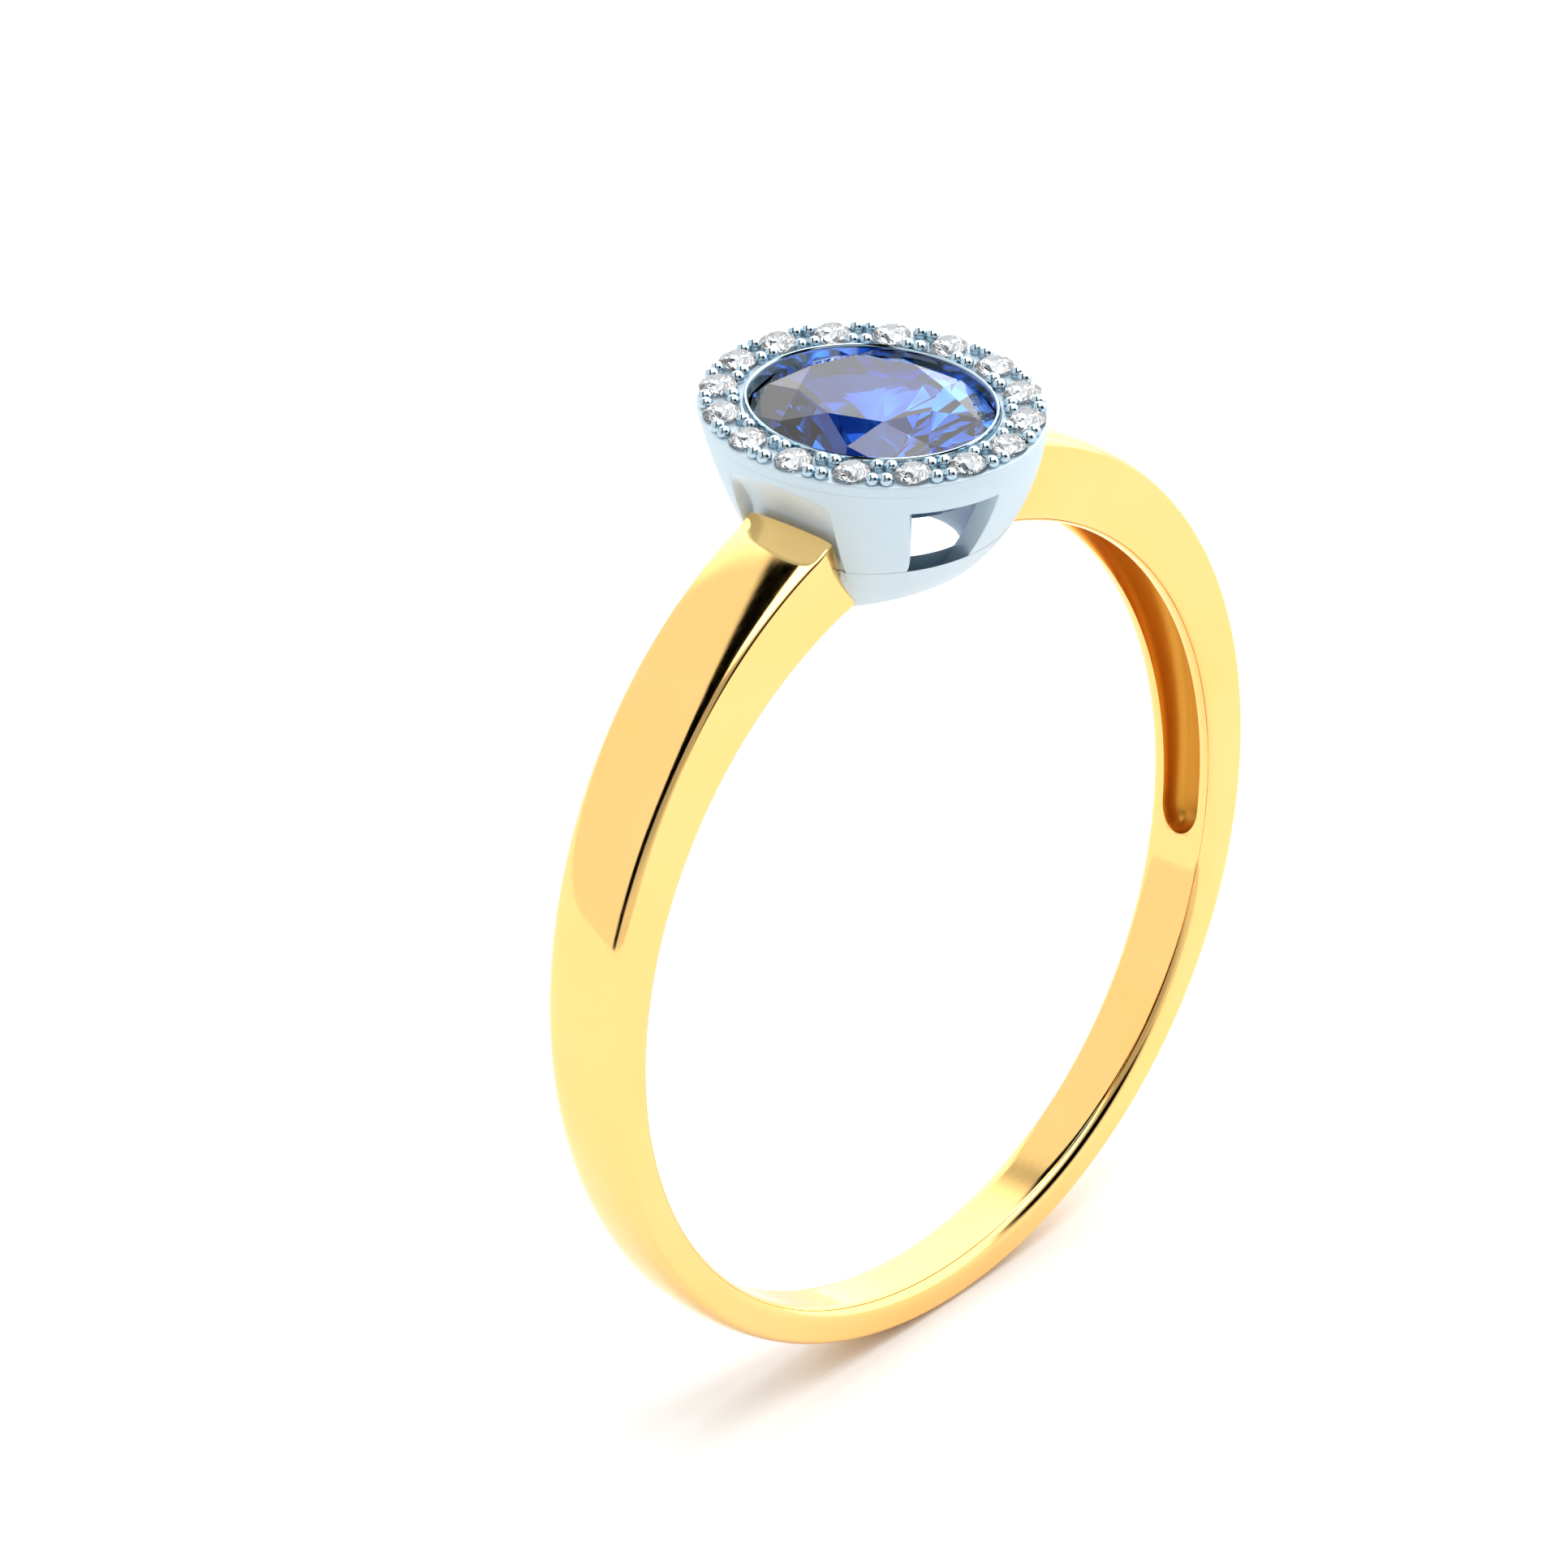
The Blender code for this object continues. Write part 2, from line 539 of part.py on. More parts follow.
def build_sapphire(sapphire_blue):
    """The oval centre stone, cut as an oval brilliant in plain tiers."""
    crown_z = GIRDLE_Z + STONE_GIRDLE
    tiers = (
        (CULET_SHARE, GIRDLE_Z - STONE_PAVILION),
        (PAVILION_MID_SHARE, GIRDLE_Z - STONE_PAVILION / 2),
        (1.00, GIRDLE_Z),
        (1.00, crown_z),
        (CROWN_MID_SHARE, crown_z + CROWN_MID_RISE * STONE_CROWN),
        (STONE_TABLE_SHARE, crown_z + STONE_CROWN),
    )
    bm = bmesh.new()
    loft(bm, [oval(share * STONE_HALF_X, share * STONE_HALF_Y, z, 24) for share, z in tiers])
    return add_object("sapphire", bm, sapphire_blue, smooth_angle=5.0)


# ---- assembly -----------------------------------------------------------------------------------
def build_ring():
    clear_scene()
    gold = make_material("yellow_gold", (0.90, 0.62, 0.22), 1.0, 0.12)
    white_gold = make_material("rhodium_white_gold", (0.66, 0.75, 0.80), 1.0, 0.18)
    sapphire_blue = make_material("sapphire_blue", (0.02, 0.07, 0.42), 0.0, 0.04)
    crystal = make_material("diamond_crystal", (0.90, 0.91, 0.93), 0.0, 0.02)
    seats = build_seats()
    build_shank(gold, build_head_space())
    build_gallery(white_gold, seats)
    build_halo(white_gold, seats)
    build_collet(white_gold)
    build_sapphire(sapphire_blue)
    for number, turn in enumerate(diamond_turns(), start=1):
        build_diamond(f"diamond_{number:02d}", turn, crystal)


build_ring()
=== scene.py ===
"""Engagement ring: the looks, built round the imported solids.

A rhodium-plated white gold head holds an oval sapphire inside a halo of sixteen small diamonds, and a
polished yellow gold shank is soldered to it. Everything is in metres, in the solids' own frame.
"""

import json
from math import asin, atan2, cos, degrees, pi, radians, sin, sqrt, tan

import bmesh
import bpy
from mathutils import Matrix, Vector


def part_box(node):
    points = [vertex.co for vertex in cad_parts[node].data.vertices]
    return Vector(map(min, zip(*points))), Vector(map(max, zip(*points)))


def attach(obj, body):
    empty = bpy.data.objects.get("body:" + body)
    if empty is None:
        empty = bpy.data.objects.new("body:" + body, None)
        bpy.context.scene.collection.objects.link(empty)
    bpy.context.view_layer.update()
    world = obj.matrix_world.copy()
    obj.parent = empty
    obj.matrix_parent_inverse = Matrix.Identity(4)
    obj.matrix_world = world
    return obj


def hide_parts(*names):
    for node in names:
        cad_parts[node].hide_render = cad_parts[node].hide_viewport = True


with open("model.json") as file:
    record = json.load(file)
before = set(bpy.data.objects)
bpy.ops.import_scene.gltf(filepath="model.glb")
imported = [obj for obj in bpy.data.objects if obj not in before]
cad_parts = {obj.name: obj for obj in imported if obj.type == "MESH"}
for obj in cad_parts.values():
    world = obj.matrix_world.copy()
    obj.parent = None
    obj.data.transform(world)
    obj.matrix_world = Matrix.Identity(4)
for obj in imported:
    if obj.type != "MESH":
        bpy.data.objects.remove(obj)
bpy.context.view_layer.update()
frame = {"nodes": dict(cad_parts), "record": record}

MM = 0.001


# ==== Head gallery ========================================================
# The oval bowl under the stones, cast in white gold and rhodium plated, which gives it its cold,
# faintly blue white. Two windows are pierced through its wall, a flat is milled for each end of the
# shank with a scoop above it, and its foot is ground to the bore, where it touches the finger.

GALLERY_WALL = 0.52 * MM
GALLERY_SINK = 0.62 * MM          # the side's curve runs on this far below the finger's surface
GALLERY_FOOT_SHARE = (0.64, 0.28)  # size at the end of that curve over the size at the top, in X and Y
GALLERY_POWER = 1.5               # superellipse power of the side
GALLERY_INSET = 0.02 * MM         # the bowl stands this far inside the halo's edge
GALLERY_EDGE = 0.02 * MM          # rounding of its edges
GALLERY_SEAM = 0.002 * MM         # between its top and the halo plate
WINDOW_MIDDLES = (66.5, 246.5)    # plan angles in degrees
WINDOW_HALF = 17.5                # half width of a window at its head, in degrees
WINDOW_NARROWING = 3.5            # and how much less it is at the sill
WINDOW_SILL = 1.00 * MM           # above the finger's surface
WINDOW_HEAD = 2.44 * MM
WINDOW_REACH = 21.5               # how far from its middle a window bends the lines beside it
SHOULDER_EXTRA = 0.20 * MM        # how much thicker the wall is in X, behind the flats
FACE_INSET = 0.56 * MM            # the shoulders' flats stand this far inside the halo's edge
FACE_HALF = 1.20 * MM             # half their width, in Y
FACE_WIDEST = 0.62                # sine of the plan angle that their ends stop at where the bowl is narrow
FACE_TURN = 18.75                 # plan angle of a flat's ends near the top, in degrees
FACE_REACH = 45.0                 # and how far round a flat bends the lines beside it
FACE_CORNER = 3.5                 # width of the rounded step at a flat's ends, in degrees
CORNER_INSIDE = 0.1               # share of that step that lies inside the flat's end
SCOOP_LIP = 0.15 * MM             # height of the lip left standing below the scoop
LIP_LEAN = 20.0                   # degrees by which the lip leans back
SCOOP_STEP = 0.05 * MM            # size of the step from the lip down into the scoop
SCOOP_DEPTH = 0.20 * MM           # from the flat to the scoop's deepest line
SCOOP_DEEPEST = 0.42              # share of the scoop's height at which that line runs
SCOOP_POWER = 1.6                 # how the cove curves outwards above that line
SCOOP_BROW = 0.06 * MM            # wall left above the scoop
FOOT_ROWS = 8                     # rows of the wall's mesh: below the windows, beside and above them
WINDOW_ROWS = 30
BROW_ROWS = 12
CORNER_COLUMNS = 12               # columns across the step at a flat's end
DIMPLE_SPACING = 0.04 * MM        # of the plated metal's skin
DIMPLE_DEPTH = 0.002 * MM
# the two below pick the points that get the painted highlight on the flats and scoops
MILLED_MARGIN = 0.01 * MM         # how far past the flat's lowest line a point counts as milled
MILLED_LEVEL = 0.98               # if it lies within this squared share of the way out to the bowl's side

finger_radius = 8.45 * MM
finger_mount = next(m for m in frame["record"]["mounts"] if m["name"] == "finger_hole")
finger_z = finger_mount["pos_m"][2]
surface_z = finger_z + finger_radius

halo_low, halo_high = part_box("halo_plate")
halo_half = (halo_high[0], halo_high[1])
halo_thickness = 0.24 * MM
halo_top = halo_low[2] + halo_thickness
gallery_top = halo_low[2] - GALLERY_SEAM


def smooth_step(value):
    """0 below 0, 1 above 1, and an S-curve between."""
    value = min(max(value, 0.0), 1.0)
    return value * value * (3 - 2 * value)


def bowl_halves(z, inset=0.0):
    """Half widths of the bowl at a height."""
    foot_z = surface_z - GALLERY_SINK
    rise = min(max((z - foot_z) / (halo_top - foot_z), 0.0), 1.0)
    curve = (1 - (1 - rise) ** GALLERY_POWER) ** (1 / GALLERY_POWER)
    return [(half - GALLERY_INSET) * (share + (1 - share) * curve) - inset
            for half, share in zip(halo_half, GALLERY_FOOT_SHARE)]


def crest_height():
    """Height at which the bowl grows wider than the flats."""
    low, high = surface_z, halo_top
    for _ in range(30):
        middle = (low + high) / 2
        if bowl_halves(middle)[0] < face_x:
            low = middle
        else:
            high = middle
    return low


face_x = halo_half[0] - FACE_INSET
face_crest = crest_height()
scoop_sill = face_crest + SCOOP_LIP
scoop_floor = scoop_sill + SCOOP_STEP
scoop_head = gallery_top - SCOOP_BROW


def face_reach(z):
    """How far out in X a shoulder's metal stands: the flat, its leaning lip, and the scoop's cove."""
    lip = face_x - tan(radians(LIP_LEAN)) * min(max(z - face_crest, 0.0), SCOOP_LIP)
    if z <= scoop_sill:
        return lip
    share = min((z - scoop_floor) / (scoop_head - scoop_floor), 1.0) - SCOOP_DEEPEST
    deep = face_x - SCOOP_DEPTH
    if share < 0:
        cove = deep + (lip - SCOOP_STEP - deep) * (share / SCOOP_DEEPEST) ** 2
    else:
        cove = deep + (halo_half[0] + SCOOP_BROW - deep) * (share / (1 - SCOOP_DEEPEST)) ** SCOOP_POWER
    return lip + (cove - lip) * min((z - scoop_sill) / SCOOP_STEP, 1.0)


def turn_from(angle, middle):
    """Signed degrees from a middle to an angle, between -180 and 180."""
    return (angle - middle + 180) % 360 - 180


def nearest_shoulder(angle):
    """Plan angle of the shoulder on the same side."""
    return 0.0 if abs(turn_from(angle, 0.0)) < 90 else 180.0


def plan_angle(angle, z):
    """Bend the columns, so that one follows each side of a window and each end of a flat."""
    middle = nearest_shoulder(angle)
    away = turn_from(angle, middle)
    if abs(away) < FACE_REACH:
        end = degrees(asin(min(FACE_HALF / bowl_halves(z)[1], FACE_WIDEST)))
        if abs(away) <= FACE_TURN:
            return middle + away * end / FACE_TURN
        past = (abs(away) - FACE_TURN) * (FACE_REACH - end) / (FACE_REACH - FACE_TURN)
        return middle + (end + past) * (1 if away > 0 else -1)
    share = min(max((z - surface_z - WINDOW_SILL) / (WINDOW_HEAD - WINDOW_SILL), 0.0), 1.0)
    half = WINDOW_HALF - WINDOW_NARROWING * (1 - share)
    for middle in WINDOW_MIDDLES:
        away = turn_from(angle, middle)
        if abs(away) <= WINDOW_HALF:
            return middle + away * half / WINDOW_HALF
        if abs(away) < WINDOW_REACH:
            past = (abs(away) - WINDOW_HALF) * (WINDOW_REACH - half) / (WINDOW_REACH - WINDOW_HALF)
            return middle + (half + past) * (1 if away > 0 else -1)
    return angle


def mesh_object(name, bm, smooth_angle=None, turned=True):
    """Make an object of a bmesh, smooth up to an angle in degrees, or flat."""
    if turned:
        bmesh.ops.recalc_face_normals(bm, faces=bm.faces)
    mesh = bpy.data.meshes.new(name)
    bm.to_mesh(mesh)
    bm.free()
    if smooth_angle is not None:
        mesh.shade_smooth()
        mesh.set_sharp_from_angle(angle=radians(smooth_angle))
    obj = bpy.data.objects.new(name, mesh)
    bpy.context.scene.collection.objects.link(obj)
    return obj


def round_edges(obj, width, angle, segments=3):
    """Bevel the edges sharper than an angle."""
    bevel = obj.modifiers.new("polished_edges", "BEVEL")
    bevel.width = width
    bevel.segments = segments
    bevel.limit_method = "ANGLE"
    bevel.angle_limit = radians(angle)
    bevel.use_clamp_overlap = True
    bevel.harden_normals = False


def settle(obj, smooth_angle=None):
    """Apply the modifiers, so that the piece is a plain mesh."""
    evaluated = obj.evaluated_get(bpy.context.evaluated_depsgraph_get())
    mesh = bpy.data.meshes.new_from_object(evaluated)
    obj.modifiers.clear()
    obj.data = mesh
    if smooth_angle is not None:
        mesh.shade_smooth()
        mesh.set_sharp_from_angle(angle=radians(smooth_angle))


def gallery_columns():
    """Plan angles of the wall's columns: a degree apart, and closer in the steps beside the flats."""
    angles = set(range(360))
    for middle in (0.0, 180.0):
        for side in (-1, 1):
            for step in range(-1, CORNER_COLUMNS + 1):
                away = FACE_TURN + (step / CORNER_COLUMNS - CORNER_INSIDE) * FACE_CORNER
                angles.add(round((middle + side * away) % 360, 3))
    for middle in WINDOW_MIDDLES:
        angles |= {(middle - WINDOW_HALF) % 360, (middle + WINDOW_HALF) % 360}
    return sorted(angles)


def gallery_rows():
    """The foot's rows as shares of the way up to the sills, then the heights of the rows above."""
    sill, head = surface_z + WINDOW_SILL, surface_z + WINDOW_HEAD
    heights = {round(sill + (head - sill) * i / WINDOW_ROWS, 9) for i in range(WINDOW_ROWS + 1)}
    heights |= {round(head + (gallery_top - head) * i / BROW_ROWS, 9) for i in range(1, BROW_ROWS + 1)}
    heights |= {face_crest, scoop_sill, scoop_sill + SCOOP_STEP / 2, scoop_floor}
    return [("foot", i / FOOT_ROWS) for i in range(FOOT_ROWS)] + [("up", z) for z in sorted(heights)]


def wall_point(angle, z, inner):
    """A point of the wall's inside or outside at a height, with the flats and scoops milled away."""
    plan = radians(plan_angle(angle, z))
    half_x, half_y = bowl_halves(z, GALLERY_WALL if inner else 0.0)
    if inner:
        return ((half_x - SHOULDER_EXTRA) * cos(plan), half_y * sin(plan), z)
    x, y = half_x * cos(plan), half_y * sin(plan)
    middle = nearest_shoulder(angle)
    milled = smooth_step(1 - CORNER_INSIDE - (abs(turn_from(angle, middle)) - FACE_TURN) / FACE_CORNER)
    cut = max(abs(x) - face_reach(z), 0.0) * milled
    return (x - cut * (1 if x > 0 else -1), y, z)


def gallery_point(angle, row, inner):
    """A point of the wall in one of its rows; the lowest row lies on the bore."""
    kind, z = row
    if kind == "foot":
        bottom = surface_z
        for _ in range(6):
            x = wall_point(angle, bottom, inner)[0]
            bottom = finger_z + sqrt(finger_radius ** 2 - x * x)
        z = bottom + (surface_z + WINDOW_SILL - bottom) * z
    return wall_point(angle, z, inner)


def in_window(angle):
    """Whether a plan angle lies within a window."""
    return any(abs(turn_from(angle, middle)) < WINDOW_HALF for middle in WINDOW_MIDDLES)


def build_gallery():
    """Skin the wall's two sides, leave the windows out and close their reveals, the top and the foot."""
    columns = gallery_columns()
    rows = gallery_rows()
    count = len(columns)
    top = len(rows) - 1
    bm = bmesh.new()
    skins = []
    for inner in (False, True):
        skins.append([[bm.verts.new(gallery_point(a, row, inner)) for row in rows] for a in columns])
    outer, inner = skins
    sill = next(i for i, row in enumerate(rows) if row[0] == "up")
    lintel = min(range(sill, len(rows)), key=lambda i: abs(rows[i][1] - surface_z - WINDOW_HEAD))

    def is_open(c, r):
        middle = (columns[c] + turn_from(columns[(c + 1) % count], columns[c]) / 2) % 360
        return in_window(middle) and sill <= r < lintel

    def wall_across(c, r, d, s):
        bm.faces.new((outer[c][r], outer[d][s], inner[d][s], inner[c][r]))

    for c in range(count):
        d = (c + 1) % count
        for r in range(top):
            if is_open(c, r):
                if not is_open(c, r - 1):
                    wall_across(c, r, d, r)
                if not is_open(c, r + 1):
                    wall_across(c, r + 1, d, r + 1)
                if not is_open((c - 1) % count, r):
                    wall_across(c, r, c, r + 1)
                if not is_open(d, r):
                    wall_across(d, r, d, r + 1)
                continue
            for skin in skins:
                bm.faces.new((skin[c][r], skin[d][r], skin[d][r + 1], skin[c][r + 1]))
        wall_across(c, 0, d, 0)
        wall_across(c, top, d, top)
    gallery = mesh_object("gallery_bowl", bm)
    round_edges(gallery, GALLERY_EDGE, angle=50)
    settle(gallery, smooth_angle=40)
    mark_painted_highlight(gallery)
    return gallery


def mark_painted_highlight(gallery):
    """Store 1 on the points of the flats and scoops, which stand inside the bowl's outside; the plating's
    material paints these points whiter, as a painted highlight.
    """
    milled = gallery.data.attributes.new("milled", "FLOAT", "POINT")
    for i, vertex in enumerate(gallery.data.vertices):
        x, y, z = vertex.co
        half_x, half_y = bowl_halves(z)
        cut_back = z > face_crest + MILLED_MARGIN and (x / half_x) ** 2 + (y / half_y) ** 2 < MILLED_LEVEL
        outside = abs(x) > face_x - SCOOP_DEPTH - MILLED_MARGIN / 2
        milled.data[i].value = 1.0 if cut_back and outside else 0.0


def linear(code):
    """Turn an sRGB hex colour into linear RGBA."""
    channels = [int(code[i:i + 2], 16) / 255 for i in (1, 3, 5)]
    return (*[c / 12.92 if c <= 0.04045 else ((c + 0.055) / 1.055) ** 2.4 for c in channels], 1.0)


def add_node(tree, kind, inputs=None, **settings):
    """Add a node with its settings; each input is a value or the output that feeds it."""
    made = tree.nodes.new(kind)
    for name, value in settings.items():
        setattr(made, name, value)
    for name, value in (inputs or {}).items():
        if isinstance(value, bpy.types.NodeSocket):
            tree.links.new(value, made.inputs[name])
        else:
            made.inputs[name].default_value = value
    return made


def new_material(name):
    """An empty node material with its output, its tree and object coordinates."""
    mat = bpy.data.materials.new(name)
    mat.use_nodes = True
    tree = mat.node_tree
    tree.nodes.clear()
    output = tree.nodes.new("ShaderNodeOutputMaterial")
    place = tree.nodes.new("ShaderNodeTexCoord").outputs["Object"]
    return mat, tree, output, place


def rhodium_plate(name, low, high, roughness, grain, metallic=1.0):
    """Rhodium over white gold: a cool blue-white metal, a mirror when buffed, nearly matt when blasted.

    Its colour and gloss wander over patches about a millimetre across.
    """
    mat, tree, output, place = new_material(name)
    cloud = add_node(tree, "ShaderNodeTexNoise", {"Vector": place, "Scale": 900.0, "Detail": 3.0})
    tint = add_node(tree, "ShaderNodeMix", {"Factor": cloud.outputs["Fac"]}, data_type="RGBA")
    tint.inputs[6].default_value = linear(low)
    tint.inputs[7].default_value = linear(high)
    # painted highlight: the milled flats and scoops are painted whiter than the blasted wall, so that they
    # look lit
    milled = add_node(tree, "ShaderNodeAttribute", attribute_name="milled").outputs["Fac"]
    colour = add_node(tree, "ShaderNodeMix", {"Factor": milled}, data_type="RGBA")
    tree.links.new(tint.outputs[2], colour.inputs[6])
    colour.inputs[7].default_value = linear("#DCEAF4")
    gloss = add_node(tree, "ShaderNodeMapRange", {
        "Value": cloud.outputs["Fac"], "From Min": 0.3, "From Max": 0.7,
        "To Min": roughness * 0.8, "To Max": roughness * 1.2})
    # blasting and tumbling leave a skin of fine dimples
    dimples = add_node(tree, "ShaderNodeTexNoise", {
        "Vector": place, "Scale": 1 / DIMPLE_SPACING, "Detail": 2.0})
    bump = add_node(tree, "ShaderNodeBump", {
        "Height": dimples.outputs["Fac"], "Strength": grain, "Distance": DIMPLE_DEPTH})
    shader = add_node(tree, "ShaderNodeBsdfPrincipled", {
        "Base Color": colour.outputs[2], "Metallic": metallic,
        "Roughness": gloss.outputs["Result"], "Normal": bump.outputs["Normal"]})
    tree.links.new(shader.outputs["BSDF"], output.inputs["Surface"])
    return mat


def fit(piece, material, slot, *nodes):
    """Give a finished piece its material and body, and hide the solids it stands for."""
    piece.data.materials.clear()
    piece.data.materials.append(material)
    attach(piece, "root")
    if nodes:
        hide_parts(*nodes)


# the blasted wall scatters most of its light, so it counts as a third metal and two thirds matt
satin_rhodium = rhodium_plate(
    "satin_rhodium", low="#BFD3DE", high="#D2E1EA", roughness=0.50, grain=0.25, metallic=0.35)
gallery_bowl = build_gallery()
fit(gallery_bowl, satin_rhodium, "white_gold", "head_gallery")


# ==== Halo plate ==========================================================
# The oval plate on top of the gallery, in the same white gold. Each diamond's seat is a cone cut
# down with a burr and drilled through under the stone's point, and it breaks through the plate's
# outer edge, so the stones show from the side.

SEAT_GAP = 0.02 * MM
PLATE_GAP = 0.01 * MM             # between the plate and the bezel that is soldered into it
PLATE_EDGE = 0.05 * MM            # rounding of its upper edge
PLATE_POINTS = 240                # points round the oval
EDGE_STEPS = 4
DIAMOND_PROUD = 0.09 * MM         # girdle above the plate's face
CULET_SHARE = 0.86                # the stone's point below its girdle, over its radius
DRILL_RADIUS = 0.12 * MM
DRILL_BELOW = 0.20 * MM           # how far the drill runs on below the plate
SEAT_TOE = 0.05 * MM              # where the burr's cone ends above the stone's point
SEAT_HEEL = 0.06 * MM             # and where it is full width, below the girdle
SEAT_FLARE = 0.02 * MM            # how much it opens from there to its top
BURR_ABOVE = 0.30 * MM            # which stands this far above the plate
BURR_POINTS = 40

diamond_names = sorted(name for name in frame["nodes"] if name.startswith("diamond_"))
diamond_boxes = [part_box(name) for name in diamond_names]
diamond_places = [((low[0] + high[0]) / 2, (low[1] + high[1]) / 2) for low, high in diamond_boxes]
diamond_radius = (diamond_boxes[0][1][1] - diamond_boxes[0][0][1]) / 2
collet_low, collet_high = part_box("stone_collet")


def oval_ring(half_x, half_y, z, points):
    """Points round an ellipse at a height."""
    turns = [2 * pi * i / points for i in range(points)]
    return [(half_x * cos(t), half_y * sin(t), z) for t in turns]


def skin_rings(bm, rings, closed=True):
    """Skin equal rings of points; join the last to the first, or cap both ends."""
    loops = [[bm.verts.new(point) for point in ring] for ring in rings]
    count = len(loops[0])
    pairs = list(zip(loops, loops[1:]))
    if closed:
        pairs.append((loops[-1], loops[0]))
    else:
        bm.faces.new(loops[0])
        bm.faces.new(reversed(loops[-1]))
    for first, second in pairs:
        for i in range(count):
            j = (i + 1) % count
            bm.faces.new((first[i], first[j], second[j], second[i]))


def build_halo():
    """Turn the plate's oval section, then cut the sixteen seats."""
    low = halo_low[2]

    def ring_inside(inset, z):
        return oval_ring(halo_half[0] - inset, halo_half[1] - inset, z, PLATE_POINTS)

    hole = (collet_high[0] + PLATE_GAP, collet_high[1] + PLATE_GAP)
    rings = [oval_ring(*hole, low, PLATE_POINTS), ring_inside(PLATE_EDGE / 2, low)]
    for i in range(EDGE_STEPS + 1):
        turn = pi / 2 * i / EDGE_STEPS
        rings.append(ring_inside(PLATE_EDGE * (1 - cos(turn)), halo_top - PLATE_EDGE * (1 - sin(turn))))
    rings.append(oval_ring(*hole, halo_top, PLATE_POINTS))
    bm = bmesh.new()
    skin_rings(bm, rings)
    plate = mesh_object("halo_rim", bm)

    girdle = halo_top + DIAMOND_PROUD
    seat = diamond_radius + SEAT_GAP
    culet = girdle - CULET_SHARE * diamond_radius
    profile = ((DRILL_RADIUS, low - DRILL_BELOW), (DRILL_RADIUS, culet + SEAT_TOE),
               (seat, girdle - SEAT_HEEL), (seat + SEAT_FLARE, halo_top + BURR_ABOVE))
    bm = bmesh.new()
    for x, y in diamond_places:
        rings = []
        for radius, z in profile:
            rings.append([(x + dx, y + dy, z) for dx, dy, z in oval_ring(radius, radius, z, BURR_POINTS)])
        skin_rings(bm, rings, closed=False)
    burr = mesh_object("seat_burr", bm)
    cut = plate.modifiers.new("seats", "BOOLEAN")
    cut.operation = "DIFFERENCE"
    cut.solver = "EXACT"
    cut.object = burr
    settle(plate, smooth_angle=30)
    bpy.data.objects.remove(burr, do_unlink=True)
    return plate


halo_rim = build_halo()
fit(halo_rim, satin_rhodium, "white_gold", "halo_plate")


# ==== Grains ==============================================================
# The beads that hold the halo's diamonds, four in each gap. A setter raises each from the plate with
# a graver and rounds it with a cup-shaped beading tool, so no two are quite the same size.

GRAIN_RADIUS = 0.15 * MM
GRAIN_ALONG = 0.14 * MM           # from the middle of a gap to a bead, along the halo
GRAIN_ACROSS = 0.27 * MM          # and across it
GRAIN_SHIFT = 0.02 * MM           # the four stand this far out from the line between the diamonds
GRAIN_LIFT = 0.5                  # a bead's middle above the plate, over its radius
GRAIN_SPREAD = 0.06               # share by which a bead's size may differ


def grain_places():
    """The middle of each gap between neighbouring diamonds, and two beads either side of it."""
    order = sorted(diamond_places, key=lambda place: atan2(place[1], place[0]))
    places = []
    for here, there in zip(order, order[1:] + order[:1]):
        start = Vector(here)
        end = Vector(there)
        along = (end - start).normalized()
        across = Vector((along.y, -along.x))
        middle = (start + end) / 2 + across * GRAIN_SHIFT
        for side in (-1, 1):
            for cross in (-1, 1):
                spot = middle + along * side * GRAIN_ALONG + across * cross * GRAIN_ACROSS
                places.append((spot.x, spot.y, halo_top + GRAIN_LIFT * GRAIN_RADIUS))
    return places


def new_geometry_tree(name, inputs):
    """A geometry node tree with named inputs; returns it with its group input and output nodes."""
    tree = bpy.data.node_groups.new(name, "GeometryNodeTree")
    tree.interface.new_socket("Geometry", in_out="INPUT", socket_type="NodeSocketGeometry")
    for label, kind in inputs:
        tree.interface.new_socket(label, in_out="INPUT", socket_type=kind)
    tree.interface.new_socket("Geometry", in_out="OUTPUT", socket_type="NodeSocketGeometry")
    return tree, tree.nodes.new("NodeGroupInput"), tree.nodes.new("NodeGroupOutput")


def grow(name, points, tree, values):
    """Run a tree on a cloud of points and keep the result as a plain mesh."""
    mesh = bpy.data.meshes.new(name)
    mesh.from_pydata(points, [], [])
    obj = bpy.data.objects.new(name, mesh)
    bpy.context.scene.collection.objects.link(obj)
    step = obj.modifiers.new(tree.name, "NODES")
    step.node_group = tree
    sockets = {item.name: item.identifier for item in tree.interface.items_tree if item.in_out == "INPUT"}
    for label, value in values.items():
        step[sockets[label]] = value
    evaluated = obj.evaluated_get(bpy.context.evaluated_depsgraph_get())
    result = bpy.data.meshes.new_from_object(evaluated)
    obj.modifiers.clear()
    obj.data = result
    return obj


